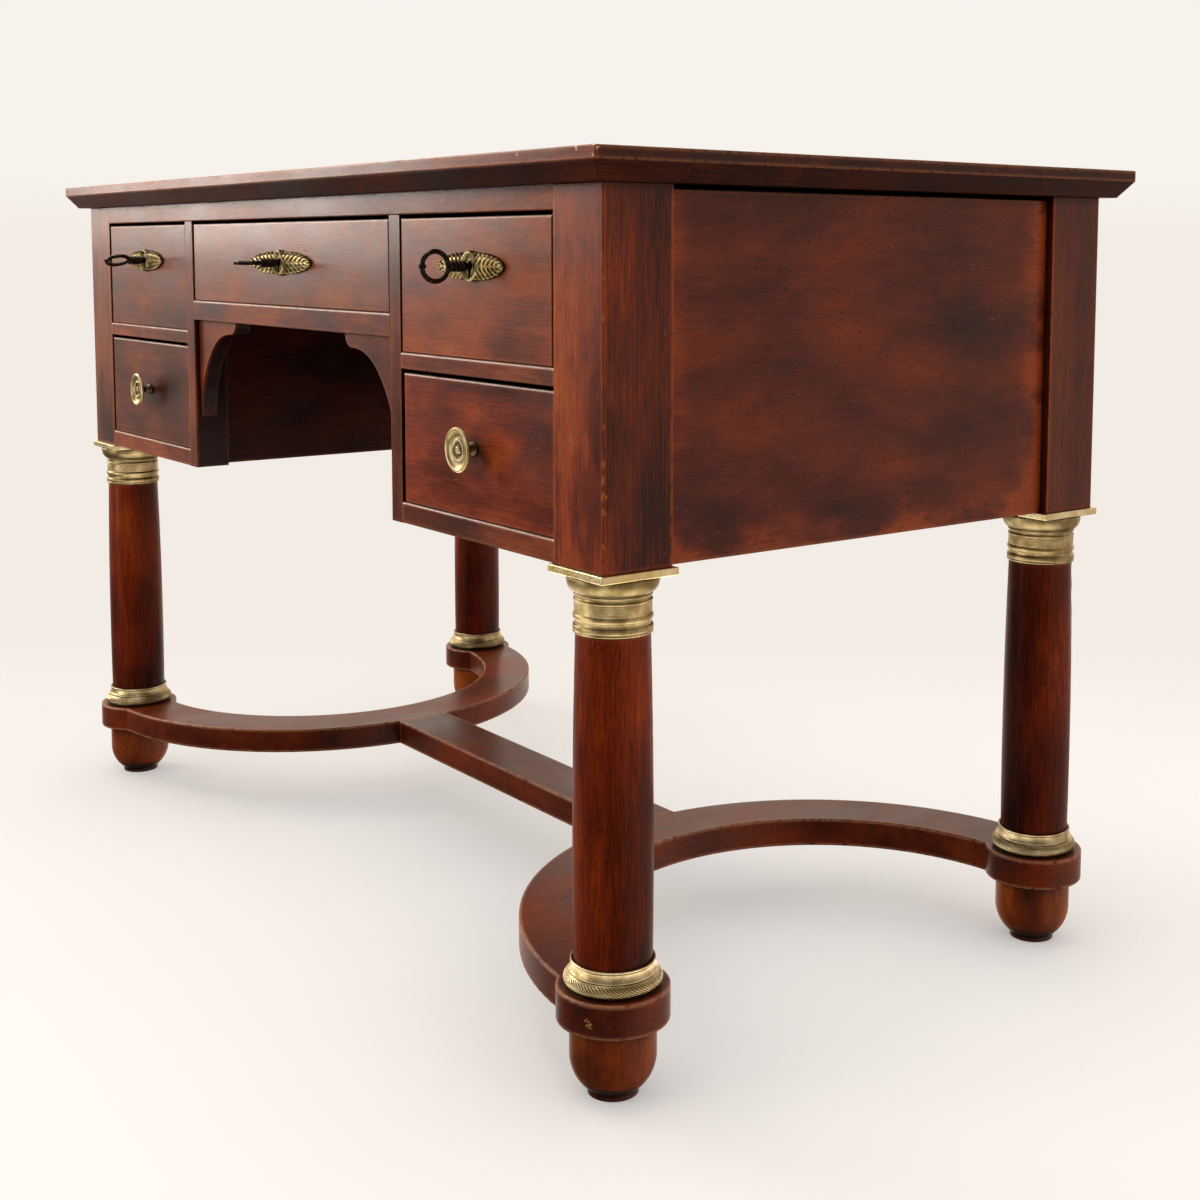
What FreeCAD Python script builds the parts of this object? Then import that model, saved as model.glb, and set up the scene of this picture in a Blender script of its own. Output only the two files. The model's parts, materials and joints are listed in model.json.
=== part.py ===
import FreeCAD, Part
import math
import os

# A mahogany writing desk with five drawers, on four columns joined by a low curved stretcher.
# Millimetres. X runs along the desk, the drawers face -Y, Z is up, and the origin is on the floor
# under the middle of the top.

V = FreeCAD.Vector
ACROSS = V(1, 0, 0)
UP = V(0, 0, 1)
ORIGIN = V(0, 0, 0)

# Overall sizes
TOP_LENGTH = 1200.0
TOP_DEPTH = 640.0
HEIGHT = 770.0

# Top board and the chamfered moulding under its edge
OVERHANG = 24.0
TOP_EDGE = 11.0
TOP_EDGE_ROUND = 1.2
MOULDING_HEIGHT = 15.0
MOULDING_WIDTH = 55.0
MOULDING_STEP = 1.0
MOULDING_CHAMFER = 11.5

# Case
CASE_HEIGHT = 304.0
POST_WIDTH = 68.0
POST_ROUND = 1.6
FRAME_DEPTH = 38.0
TOP_RAIL = 20.5
MID_RAIL = 15.0
BOTTOM_RAIL = 19.5
CENTRE_RAIL = 22.0
DIVIDER_WIDTH = 21.0
KNEE_WIDTH = 470.0
UPPER_OPENING = 125.5
CENTRE_OPENING = 90.5
FRAME_ROUND = 1.2

# Panels
PANEL_RECESS = 8.0
PANEL_THICKNESS = 18.0
PANEL_SHRINKAGE = 4.0
TONGUE_LENGTH = 10.0
TONGUE_THICKNESS = 8.0
KNEE_PANEL_THICKNESS = 16.0
KNEE_PANEL_RECESS = 3.0
KNEE_PANEL_LIFT = 2.5
FLOOR_THICKNESS = 12.0

# Joints between the fixed pieces
TENON_LENGTH = 9.0
TENON_THICKNESS = 12.0
TENON_SHOULDER = 4.0
JOINT_GAP = 0.1

# Knee brackets
BRACKET_THICKNESS = 18.0
BRACKET_RECESS = 6.0
BRACKET_WIDTH = 103.0
BRACKET_DROP = 112.0
BRACKET_NOSE = 14.0
BRACKET_TIP = 3.0

# Drawers
FRONT_THICKNESS = 20.0
FRONT_SETBACK = 1.0
FRONT_ROUND = 1.5
DRAWER_SIDE_GAP = 2.2
DRAWER_TOP_GAP = 3.5
DRAWER_RUN_GAP = 0.3
DRAWER_BACK_GAP = 45.0
DRAWER_SHIFTS = {"upper_right": -1.5, "lower_right": 1.5}
SIDE_THICKNESS = 11.0
SIDE_DROP = 6.0
BACK_THICKNESS = 11.0
BOTTOM_THICKNESS = 7.0
BOTTOM_LIFT = 9.0
BOTTOM_GROOVE = 4.0
TAIL_LENGTH = 13.0
TAIL_COUNT = 3
TAIL_NARROW_SHARE = 0.45
TAIL_WIDE_SHARE = 0.72

# What the drawers run on and stop against
RUNNER_WIDTH = 14.0
GUIDE_HEIGHT = 20.0
STOP_LENGTH = 30.0
STOP_HEIGHT = 6.0
STOP_GAP = 0.3
STOP_PLACE_SHARES = (-0.3, 0.3)

# Locks, with their keyhole below the top of the upper drawers' openings
KEYHOLE_BELOW = 45.5
KEYHOLE_RADIUS = 4.2
KEYHOLE_SLOT = 4.4
KEYHOLE_DROP = 10.6
LOCK_WIDTH = 60.0
LOCK_DEPTH = 12.0
LOCK_BELOW = 13.0
LOCK_WALL = 1.6
BOLT_WIDTH = 24.0
BOLT_THICKNESS = 5.0
BOLT_SHOULDER = 42.0
BOLT_SHOULDER_HEIGHT = 12.0
BOLT_TRAVEL = 8.0
BOLT_SINK = 0.5
BOLT_GAP = 0.15
BOLT_MORTISE_GAP = 1.0

# Keys
KEY_SHANK_RADIUS = 3.0
KEY_PIN_RADIUS = 1.4
KEY_PIN_GAP = 0.08
KEY_PIN_LENGTH = 14.0
KEY_BIT_REACH = 9.5
KEY_BIT_WIDTH = 6.0
KEY_BIT_THICKNESS = 2.4
KEY_BIT_GAP = 1.0
KEY_COLLAR_RADIUS = 5.0
KEY_COLLAR_LENGTH = 15.5
KEY_COLLAR_RINGS = 4
KEY_COLLAR_GROOVE = 1.0
KEY_STAND = 8.0
KEY_BOW_RADIUS = 12.6
KEY_BOW_WIRE = 2.2
KEY_NIB_RADIUS = 1.6
KEY_NIB_LENGTH = 7.0
KEY_TURNS = {"left": 65.0, "centre": 90.0, "right": 0.0}

# Escutcheons: a plain plate with a scalloped leaf at each end and a raised ring at the keyhole
PLATE_LENGTHS = {"left": 108.0, "centre": 146.0, "right": 108.0}
PLATE_HEIGHT = 21.0
PLATE_THICKNESS = 1.8
PLATE_RING_RADIUS = 13.4
PLATE_RING_WIDTH = 3.2
PLATE_RING_RISE = 2.2
PLATE_LOBE_COUNT = 5
PLATE_LOBE_RISE = 1.1
PLATE_TIP = 3.0

# Knobs
KNOB_RADIUS = 19.8
KNOB_STAND = 18.0
KNOB_RIM = 3.4
KNOB_DISH = 3.0
KNOB_STEM_RADIUS = 4.6
KNOB_ROSE_RADIUS = 6.2
KNOB_ROSE_HEIGHT = 3.0
KNOB_SHANK_RADIUS = 2.5
KNOB_NUT_RADIUS = 6.0
KNOB_NUT_HEIGHT = 4.0
KNOB_GAP = 0.1
KNOB_RING_SHARES = (0.62, 0.34)
KNOB_BOSS_SHARE = 0.16

# Feet
FOOT_HEIGHT = 64.0
FOOT_RADIUS = 36.4
PAD_RADIUS = 21.5
PAD_HEIGHT = 4.7

# Stretchers
STRETCHER_THICKNESS = 29.0
STRETCHER_WIDTH = 64.0
STRETCHER_RAIL_WIDTH = 68.0
STRETCHER_REACH = 8.0
STRETCHER_ROUND = 1.2
LOBE_RADIUS = 47.5
RAIL_TENON_LENGTH = 24.0
RAIL_TENON_SHARE = 0.45

# Columns
COLUMN_FOOT_RADIUS = 32.6
COLUMN_BELLY_RADIUS = 33.2
COLUMN_NECK_RADIUS = 30.7
COLUMN_BELLY_SHARE = 0.5
SPIGOT_RADIUS = 28.0
TENON_RADIUS = 14.0
TENON_INTO_FOOT = 40.0
TENON_INTO_POST = 45.0
SLEEVE_GAP = 0.15

# Brass of the columns
ABACUS_THICKNESS = 6.5
ABACUS_LIP = 4.0
ABACUS_ROUND = 1.0
CAPITAL_HEIGHT = 46.5
CAPITAL_RADIUS = 31.8
CAPITAL_FLARE = 6.2
CAPITAL_BEAD = 0.8
CAPITAL_FLARE_SHARES = (0.72, 0.93)
# Each stretch of the neck: its height as a share of the capital, where it ends as a share of the
# bead, and how far its middle swells as a share of the bead
CAPITAL_NECK_SHARES = (
    (0.0, 1.0, 0.0),
    (0.135, 1.0, 0.4),
    (0.15, -1.0, 0.0),
    (0.21, -1.0, 0.0),
    (0.225, 0.0, 0.0),
    (0.355, 0.0, 1.1),
    (0.37, -0.3, 0.0),
    (0.55, -0.3, 0.0),
    (0.555, 0.2, 0.0),
    (0.605, 0.2, 0.7),
    (0.61, -0.8, 0.0),
    (0.65, -0.8, 0.0),
    (0.655, 0.2, 0.0),
    (0.705, 0.2, 0.7),
    (0.71, -0.2, 0.0),
)
RING_HEIGHT = 22.5
RING_TORUS_HEIGHT = 13.0
RING_RADIUS = 40.5
RING_LIP_RADIUS = 34.6
RING_LIP_HEIGHT = 1.8
RING_FILLET = 1.0

# One overrun for cuts that go right through, and the tolerance that tells which edge is meant
OVERRUN = 2.0
TOUCH = 0.001

# Places that follow from the sizes
case_x = TOP_LENGTH / 2 - OVERHANG
case_y = TOP_DEPTH / 2 - OVERHANG
edge_bottom = HEIGHT - TOP_EDGE
case_top = edge_bottom - MOULDING_HEIGHT
case_bottom = case_top - CASE_HEIGHT
post_x = case_x - POST_WIDTH
post_y = case_y - POST_WIDTH
leg_x = case_x - POST_WIDTH / 2
leg_y = case_y - POST_WIDTH / 2
front_y = -case_y
frame_back = front_y + FRAME_DEPTH
panel_x = case_x - PANEL_RECESS - PANEL_THICKNESS
panel_y = case_y - PANEL_RECESS - PANEL_THICKNESS
knee_x = KNEE_WIDTH / 2
divider_x = knee_x + DIVIDER_WIDTH
knee_panel_x = knee_x + KNEE_PANEL_RECESS
bay_wall_x = knee_panel_x + KNEE_PANEL_THICKNESS
top_rail_z = case_top - TOP_RAIL
mid_rail_top = top_rail_z - UPPER_OPENING
mid_rail_z = mid_rail_top - MID_RAIL
floor_top = case_bottom + BOTTOM_RAIL
centre_rail_top = top_rail_z - CENTRE_OPENING
centre_rail_z = centre_rail_top - CENTRE_RAIL
face_y = front_y + FRONT_SETBACK
front_back = face_y + FRONT_THICKNESS
drawer_end = panel_y - DRAWER_BACK_GAP
keyhole_z = top_rail_z - KEYHOLE_BELOW
lock_top = KEYHOLE_BELOW - DRAWER_TOP_GAP
lobe_top = FOOT_HEIGHT + STRETCHER_THICKNESS
abacus_z = case_bottom - ABACUS_THICKNESS
capital_z = abacus_z - CAPITAL_HEIGHT

SIDES = {"left": -1, "right": 1}
ENDS = {"front": -1, "back": 1}
LEGS = [(f"{end}_{side}", SIDES[side] * leg_x, ENDS[end] * leg_y) for end in ENDS for side in SIDES]

# Drawer openings: low and high X, low and high Z
BAYS = {
    "upper_left": (-post_x, -divider_x, mid_rail_top, top_rail_z),
    "lower_left": (-post_x, -divider_x, floor_top, mid_rail_z),
    "centre": (-knee_x, knee_x, centre_rail_top, top_rail_z),
    "upper_right": (divider_x, post_x, mid_rail_top, top_rail_z),
    "lower_right": (divider_x, post_x, floor_top, mid_rail_z),
}
LOCKS = {"left": "upper_left", "centre": "centre", "right": "upper_right"}
KNOBS = {"left": "lower_left", "right": "lower_right"}


def block(x0, x1, y0, y1, z0, z1):
    """A block between two corners."""
    return Part.makeBox(x1 - x0, y1 - y0, z1 - z0, V(x0, y0, z0))


def pocket(x0, x1, y0, y1, z0, z1):
    """The hole that takes a block of these sizes with the joint's gap all round."""
    gap = JOINT_GAP
    return block(x0 - gap, x1 + gap, y0 - gap, y1 + gap, z0 - gap, z1 + gap)


def outline(start, *steps):
    """A closed wire of lines and arcs. A step is an end point, or a middle point and an end point."""
    edges = []
    here = start
    for step in steps + (start,):
        if isinstance(step, tuple):
            edges.append(Part.Arc(here, step[0], step[1]).toShape())
            here = step[1]
        elif (step - here).Length > TOUCH:
            edges.append(Part.LineSegment(here, step).toShape())
            here = step
    return Part.Wire(edges)


def turned(start, *steps):
    """A solid turned about Z from a profile whose X is the radius."""
    return Part.Face(outline(start, *steps)).revolve(ORIGIN, UP, 360)


def disc(radius, z0, z1):
    """A round rod along Z."""
    return Part.makeCylinder(radius, z1 - z0, V(0, 0, z0))


def rounded(shape, radius, wanted):
    """Round the edges whose middle is wanted."""
    return shape.makeFillet(radius, [edge for edge in shape.Edges if wanted(edge.CenterOfMass)])


def at(shape, x, y, z=0):
    """A copy moved to its place."""
    moved = shape.copy()
    moved.translate(V(x, y, z))
    return moved


def hung(shape, x, z):
    """A piece made lying on its back, stood up on a drawer's face with its Z pointing out."""
    stood = shape.copy()
    stood.rotate(ORIGIN, ACROSS, 90)
    return at(stood, x, face_y, z)


def mirrored(shape):
    """The piece for the other side of the desk."""
    return shape.mirror(ORIGIN, ACROSS)


def both_sides(shape):
    """A piece of the right side, and its mirror on the left."""
    return [mirrored(shape), shape]


def save(name, *solids):
    """Write one node, which is one solid or a group of separate solids."""
    shape = solids[0] if len(solids) == 1 else Part.makeCompound(list(solids))
    shape.exportStep(f"parts/{name}.step")


# Top

def top_board():
    """The board, with a thicker middle that fills the ring of mouldings."""
    plate = block(-TOP_LENGTH / 2, TOP_LENGTH / 2, -TOP_DEPTH / 2, TOP_DEPTH / 2, edge_bottom, HEIGHT)
    plate = rounded(plate, TOP_EDGE_ROUND, lambda middle: True)
    x = TOP_LENGTH / 2 - MOULDING_WIDTH
    y = TOP_DEPTH / 2 - MOULDING_WIDTH
    return plate.fuse(block(-x, x, -y, y, case_top, edge_bottom)).removeSplitter()


def rectangle(x, y, z):
    """A rectangle about the middle of the desk."""
    return Part.makePolygon([V(-x, -y, z), V(x, -y, z), V(x, y, z), V(-x, y, z), V(-x, -y, z)])


def top_mouldings():
    """Four mitred lengths whose outer face leans inwards."""
    x = TOP_LENGTH / 2
    y = TOP_DEPTH / 2
    lean = MOULDING_STEP + MOULDING_CHAMFER
    upper = rectangle(x - MOULDING_STEP, y - MOULDING_STEP, edge_bottom)
    lower = rectangle(x - lean, y - lean, case_top)
    inner_x = x - MOULDING_WIDTH
    inner_y = y - MOULDING_WIDTH
    ring = Part.makeLoft([lower, upper], True, True)
    ring = ring.cut(block(-inner_x, inner_x, -inner_y, inner_y, case_top - OVERRUN, edge_bottom + OVERRUN))
    corners = [(-1, -1), (1, -1), (1, 1), (-1, 1)]
    lengths = []
    for first, second in zip(corners, corners[1:] + corners[:1]):
        trapezium = [
            V(first[0] * x, first[1] * y, case_top),
            V(second[0] * x, second[1] * y, case_top),
            V(second[0] * inner_x, second[1] * inner_y, case_top),
            V(first[0] * inner_x, first[1] * inner_y, case_top),
        ]
        wedge = Part.Face(Part.makePolygon(trapezium + trapezium[:1])).extrude(V(0, 0, MOULDING_HEIGHT))
        lengths.append(ring.common(wedge))
    return lengths


# Case

def rail_tenon(x0, x1, z0, z1):
    """The tenon of a front rail, between two X and with a shoulder above and below."""
    middle = (front_y + frame_back) / 2
    shoulder = min(TENON_SHOULDER, (z1 - z0) / 3)
    return (x0, x1, middle - TENON_THICKNESS / 2, middle + TENON_THICKNESS / 2, z0 + shoulder, z1 - shoulder)


def rail_tenons(x0, x1, z0, z1):
    """The tenons at both ends of a rail that shows between these X."""
    return [rail_tenon(x0 - TENON_LENGTH, x0, z0, z1), rail_tenon(x1, x1 + TENON_LENGTH, z0, z1)]


def divider_tenon(side):
    """The tenon on top of a divider, in the top rail."""
    middle = side * (knee_x + DIVIDER_WIDTH / 2)
    half = DIVIDER_WIDTH / 2 - TENON_SHOULDER
    across = (front_y + frame_back) / 2
    reach = min(TENON_LENGTH, TOP_RAIL / 2)
    return (
        middle - half, middle + half,
        across - TENON_THICKNESS / 2, across + TENON_THICKNESS / 2,
        top_rail_z, top_rail_z + reach,
    )


RAILS = {
    "top_rail": (-post_x, post_x, top_rail_z, case_top),
    "mid_rail_left": (-post_x, -divider_x, mid_rail_z, mid_rail_top),
    "mid_rail_right": (divider_x, post_x, mid_rail_z, mid_rail_top),
    "bottom_rail_left": (-post_x, -divider_x, case_bottom, floor_top),
    "bottom_rail_right": (divider_x, post_x, case_bottom, floor_top),
    "centre_rail": (-knee_x, knee_x, centre_rail_z, centre_rail_top),
}
TENONS = [tenon for rail in RAILS.values() for tenon in rail_tenons(*rail)]
TENONS += [divider_tenon(side) for side in SIDES.values()]


def end_tongue(end):
    """The tongue of the right end panel in the front or back post."""
    middle = panel_x + PANEL_THICKNESS / 2
    y = sorted((end * post_y, end * (post_y + TONGUE_LENGTH)))
    return (middle - TONGUE_THICKNESS / 2, middle + TONGUE_THICKNESS / 2, y[0], y[1], case_bottom, case_top)


def back_tongue(side):
    """The tongue of the back panel in a back post."""
    middle = panel_y + PANEL_THICKNESS / 2
    x = sorted((side * post_x, side * (post_x + TONGUE_LENGTH)))
    return (x[0], x[1], middle - TONGUE_THICKNESS / 2, middle + TONGUE_THICKNESS / 2, case_bottom, case_top)


def mortised(shape, tenons):
    """Cut the pockets that take these tenons."""
    return shape.cut(Part.makeCompound([pocket(*tenon) for tenon in tenons]))


def post(end):
    """A right-hand corner post: grooves for the panels, mortises for rails, a hole for the column."""
    y = sorted((end * post_y, end * case_y))
    shape = block(post_x, case_x, y[0], y[1], case_bottom, case_top)
    shape = rounded(shape, POST_ROUND, lambda m: m.x > case_x - TOUCH and abs(m.y - end * case_y) < TOUCH)
    joints = [end_tongue(end)] + (TENONS if end == ENDS["front"] else [back_tongue(SIDES["right"])])
    hole = disc(TENON_RADIUS + SLEEVE_GAP, case_bottom - OVERRUN, case_bottom + TENON_INTO_POST + JOINT_GAP)
    return mortised(shape, joints).cut(at(hole, leg_x, end * leg_y))


def front_rail(name):
    """A rail of the front frame with its tenons and, in the top rail, the bolts' mortises."""
    x0, x1, z0, z1 = RAILS[name]
    shape = block(x0, x1, front_y, frame_back, z0, z1)
    level = (z0, z1) if name != "top_rail" else (z0,)
    shape = rounded(shape, FRAME_ROUND, lambda m: m.y < front_y + TOUCH and min(abs(m.z - z) for z in level) < TOUCH)
    shape = shape.fuse([block(*tenon) for tenon in rail_tenons(x0, x1, z0, z1)]).removeSplitter()
    if name == "top_rail":
        shape = mortised(shape, [divider_tenon(side) for side in SIDES.values()])
        shape = shape.cut([bolt_mortise(bay) for bay in LOCKS.values()])
    return shape


def bolt_mortise(bay):
    """The hole in the top rail that a lock's bolt rises into."""
    x = bay_middle(bay)
    half = BOLT_WIDTH / 2 + BOLT_MORTISE_GAP
    y = front_back - LOCK_DEPTH / 2
    deep = BOLT_THICKNESS / 2 + BOLT_MORTISE_GAP
    return block(x - half, x + half, y - deep, y + deep, top_rail_z - OVERRUN, top_rail_z + BOLT_TRAVEL)


def divider(side):
    """The upright between the kneehole and the side drawers."""
    x = sorted((side * knee_x, side * divider_x))
    shape = block(x[0], x[1], front_y, frame_back, case_bottom, top_rail_z)
    shape = rounded(shape, FRAME_ROUND, lambda m: m.y < front_y + TOUCH and abs(abs(m.x) - knee_x) < TOUCH)
    shape = shape.fuse(block(*divider_tenon(side))).removeSplitter()
    rails = [name for name in RAILS if name != "top_rail"]
    return mortised(shape, [tenon for name in rails for tenon in rail_tenons(*RAILS[name])])


def end_panel():
    """The right end panel, with a tongue in each post. Its board has shrunk down from the moulding."""
    shape = block(panel_x, panel_x + PANEL_THICKNESS, -post_y, post_y, case_bottom, case_top)
    shape = shape.fuse([block(*end_tongue(end)) for end in ENDS.values()]).removeSplitter()
    reach = post_y + TONGUE_LENGTH
    return shape.cut(block(panel_x, case_x, -reach, reach, case_top - PANEL_SHRINKAGE, case_top))


def back_panel():
    """The back of the case, with a tongue in each back post."""
    shape = block(-post_x, post_x, panel_y, panel_y + PANEL_THICKNESS, case_bottom, case_top)
    return shape.fuse([block(*back_tongue(side)) for side in SIDES.values()]).removeSplitter()


def knee_panel():
    """The right side of the kneehole, from the divider to the back panel."""
    return block(knee_panel_x, bay_wall_x, frame_back, panel_y, case_bottom + KNEE_PANEL_LIFT, case_top)


def floor():
    """The board under the right lower drawer, notched round the posts."""
    board = block(bay_wall_x, panel_x, frame_back, panel_y, floor_top - FLOOR_THICKNESS, floor_top)
    posts = [(-case_y, -post_y), (post_y, case_y)]
    return board.cut([block(post_x, case_x, y0, y1, case_bottom, case_top) for y0, y1 in posts])


def bracket():
    """The right knee bracket: a round nose under the rail, then a quarter ellipse down the divider."""
    z = centre_rail_z
    y = front_y + BRACKET_RECESS
    inflection = V(knee_x - BRACKET_WIDTH + BRACKET_NOSE, y, z - BRACKET_NOSE)
    tip = V(knee_x - BRACKET_TIP, y, z - BRACKET_DROP)
    nose_start = V(knee_x - BRACKET_WIDTH, y, z)
    turn = math.radians(45)
    nose_middle = V(inflection.x - BRACKET_NOSE * math.cos(turn), y, z - BRACKET_NOSE * math.sin(turn))
    sweep_middle = V(
        inflection.x + (tip.x - inflection.x) * math.sin(turn), y,
        tip.z + (inflection.z - tip.z) * math.cos(turn),
    )
    sweep = Part.BSplineCurve()
    sweep.interpolate(
        [inflection, sweep_middle, tip],
        InitialTangent=V(tip.x - inflection.x, 0, 0), FinalTangent=V(0, 0, tip.z - inflection.z),
    )
    corner = V(knee_x, y, z)
    foot = V(knee_x, y, tip.z)
    wire = Part.Wire([
        Part.LineSegment(corner, nose_start).toShape(),
        Part.Arc(nose_start, nose_middle, inflection).toShape(),
        sweep.toShape(),
        Part.LineSegment(tip, foot).toShape(),
        Part.LineSegment(foot, corner).toShape(),
    ])
    return Part.Face(wire).extrude(V(0, BRACKET_THICKNESS, 0))


# What the drawers run on

def runners():
    """Strips under the upper and centre drawers, and the blocks that guide the side drawers."""
    upper_outer = block(post_x - RUNNER_WIDTH, post_x, frame_back, panel_y, mid_rail_z, mid_rail_top)
    upper_inner = block(bay_wall_x, bay_wall_x + RUNNER_WIDTH, frame_back, panel_y, mid_rail_z, mid_rail_top)
    centre = block(knee_panel_x - RUNNER_WIDTH, knee_panel_x, frame_back, panel_y, centre_rail_z, centre_rail_top)
    upper_guide = block(post_x, panel_x, -post_y, post_y, mid_rail_z, mid_rail_top + GUIDE_HEIGHT)
    lower_guide = block(post_x, panel_x, -post_y, post_y, floor_top, floor_top + GUIDE_HEIGHT)
    pieces = [upper_outer, upper_inner, centre, upper_guide, lower_guide]
    return [solid for piece in pieces for solid in both_sides(piece)]


def kickers():
    """Strips above the upper and centre drawers, which stop them tipping when they are pulled out."""
    outer = block(post_x - RUNNER_WIDTH, post_x, frame_back, panel_y, top_rail_z, case_top)
    inner = block(bay_wall_x, bay_wall_x + RUNNER_WIDTH, frame_back, panel_y, top_rail_z, case_top)
    centre = block(knee_panel_x - RUNNER_WIDTH, knee_panel_x, frame_back, panel_y, top_rail_z, case_top)
    return [solid for piece in (outer, inner, centre) for solid in both_sides(piece)]


def stops():
    """Two small blocks behind each drawer front, glued on the rail."""
    solids = []
    for x0, x1, z0, z1 in BAYS.values():
        for share in STOP_PLACE_SHARES:
            x = (x0 + x1) / 2 + share * (x1 - x0) - STOP_LENGTH / 2
            solids.append(block(x, x + STOP_LENGTH, front_back + STOP_GAP, frame_back, z0, z0 + STOP_HEIGHT))
    return solids


# Drawers

def bay_middle(bay):
    """The middle of a drawer opening along X."""
    return (BAYS[bay][0] + BAYS[bay][1]) / 2


def drawer_fit(bay):
    """The drawer's outer faces in its opening: low and high X, low and high Z."""
    x0, x1, z0, z1 = BAYS[bay]
    shift = DRAWER_SHIFTS.get(bay, 0)
    low = x0 + DRAWER_SIDE_GAP + shift
    high = x1 - DRAWER_SIDE_GAP + shift
    return (low, high, z0 + DRAWER_RUN_GAP, z1 - DRAWER_TOP_GAP)


def tails(x, z0, z1, gap):
    """The dovetails at the front end of a drawer side, whose low X is given."""
    pitch = (z1 - z0) / TAIL_COUNT
    solids = []
    for number in range(TAIL_COUNT):
        middle = z0 + pitch * (number + 0.5)
        narrow = pitch * TAIL_NARROW_SHARE / 2 + gap
        wide = pitch * TAIL_WIDE_SHARE / 2 + gap
        tip = front_back - TAIL_LENGTH - gap
        corners = [
            V(x - gap, front_back, middle - narrow), V(x - gap, tip, middle - wide),
            V(x - gap, tip, middle + wide), V(x - gap, front_back, middle + narrow),
        ]
        face = Part.Face(Part.makePolygon(corners + corners[:1]))
        solids.append(face.extrude(V(SIDE_THICKNESS + 2 * gap, 0, 0)))
    return solids


def bottom_plan(bay):
    """Low and high X between the drawer's sides, and low and high Z of its bottom."""
    x0, x1, z0, _ = drawer_fit(bay)
    return (x0 + SIDE_THICKNESS, x1 - SIDE_THICKNESS, z0 + BOTTOM_LIFT, z0 + BOTTOM_LIFT + BOTTOM_THICKNESS)


def drawer_front(bay):
    """The front board: dovetail sockets, a groove for the bottom, and a lock's pocket or a knob's hole."""
    x0, x1, z0, z1 = drawer_fit(bay)
    shape = block(x0, x1, face_y, front_back, z0, z1)
    shape = rounded(shape, FRONT_ROUND, lambda middle: middle.y < face_y + TOUCH)
    inner0, inner1, low, high = bottom_plan(bay)
    side_top = z1 - SIDE_DROP
    cuts = tails(x0, z0, side_top, JOINT_GAP) + tails(x1 - SIDE_THICKNESS, z0, side_top, JOINT_GAP)
    cuts.append(pocket(inner0, inner1, front_back - BOTTOM_GROOVE, front_back, low, high))
    x = bay_middle(bay)
    if bay in LOCKS.values():
        case = block(-LOCK_WIDTH / 2, LOCK_WIDTH / 2, -LOCK_BELOW, lock_top + OVERRUN,
                     -FRONT_THICKNESS - OVERRUN, LOCK_DEPTH - FRONT_THICKNESS)
        cuts += [hung(case, x, keyhole_z), hung(keyhole(-FRONT_THICKNESS - OVERRUN, OVERRUN), x, keyhole_z)]
    else:
        shank = disc(KNOB_SHANK_RADIUS + KNOB_GAP, -FRONT_THICKNESS - OVERRUN, OVERRUN)
        cuts.append(hung(shank, x, (BAYS[bay][2] + BAYS[bay][3]) / 2))
    return shape.cut(cuts)


def drawer_box(bay):
    """Two grooved and dovetailed sides, the back between them, and the bottom in the grooves."""
    x0, x1, z0, z1 = drawer_fit(bay)
    inner0, inner1, low, high = bottom_plan(bay)
    top = z1 - SIDE_DROP
    bottom = block(inner0 - BOTTOM_GROOVE, inner1 + BOTTOM_GROOVE, front_back, drawer_end, low, high)
    bottom = bottom.fuse(block(inner0, inner1, front_back - BOTTOM_GROOVE, front_back, low, high)).removeSplitter()
    groove = pocket(inner0 - BOTTOM_GROOVE, inner1 + BOTTOM_GROOVE, front_back, drawer_end + OVERRUN, low, high)
    sides = []
    for x in (x0, x1 - SIDE_THICKNESS):
        board = block(x, x + SIDE_THICKNESS, front_back, drawer_end, z0, top)
        sides.append(board.fuse(tails(x, z0, top, 0)).removeSplitter().cut(groove))
    back = block(inner0, inner1, drawer_end - BACK_THICKNESS, drawer_end, high, top)
    return sides + [back, bottom]


# Locks, keys, escutcheons and knobs, each made lying on its back about its own axis

def keyhole(z0, z1):
    """A round hole over a slot with a round end, as a cutting tool."""
    half = KEYHOLE_SLOT / 2
    slot = block(-half, half, half - KEYHOLE_DROP, 0, z0, z1)
    return disc(KEYHOLE_RADIUS, z0, z1).fuse([slot, at(disc(half, z0, z1), 0, half - KEYHOLE_DROP)])


def lock_case():
    """A thin box let into the drawer front: keyhole, slot for the bolt, and the pin for the key."""
    back = -FRONT_THICKNESS
    face = back + LOCK_DEPTH
    half = LOCK_WIDTH / 2
    wall = LOCK_WALL
    shape = block(-half, half, -LOCK_BELOW, lock_top, back, face)
    shape = shape.cut(block(wall - half, half - wall, wall - LOCK_BELOW, lock_top - wall, back + wall, face - wall))
    wide = BOLT_WIDTH / 2 + BOLT_GAP
    deep = BOLT_THICKNESS / 2 + BOLT_GAP
    middle = (back + face) / 2
    slot = block(-wide, wide, 0, lock_top + OVERRUN, middle - deep, middle + deep)
    pin = disc(KEY_PIN_RADIUS, back + wall, back + wall + KEY_PIN_LENGTH)
    return shape.cut([slot, keyhole(face - wall - OVERRUN, face + OVERRUN)]).fuse(pin).removeSplitter()


def lock_bolt():
    """A head that rises through the lock's top, on a wider shoulder that stays inside."""
    middle = LOCK_DEPTH / 2 - FRONT_THICKNESS
    deep = BOLT_THICKNESS / 2
    low = KEY_BIT_REACH + KEY_BIT_GAP
    head = block(-BOLT_WIDTH / 2, BOLT_WIDTH / 2, low, lock_top - BOLT_SINK, middle - deep, middle + deep)
    shoulder = block(-BOLT_SHOULDER / 2, BOLT_SHOULDER / 2, low, low + BOLT_SHOULDER_HEIGHT,
                     middle - deep, middle + deep)
    return head.fuse(shoulder).removeSplitter()


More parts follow.
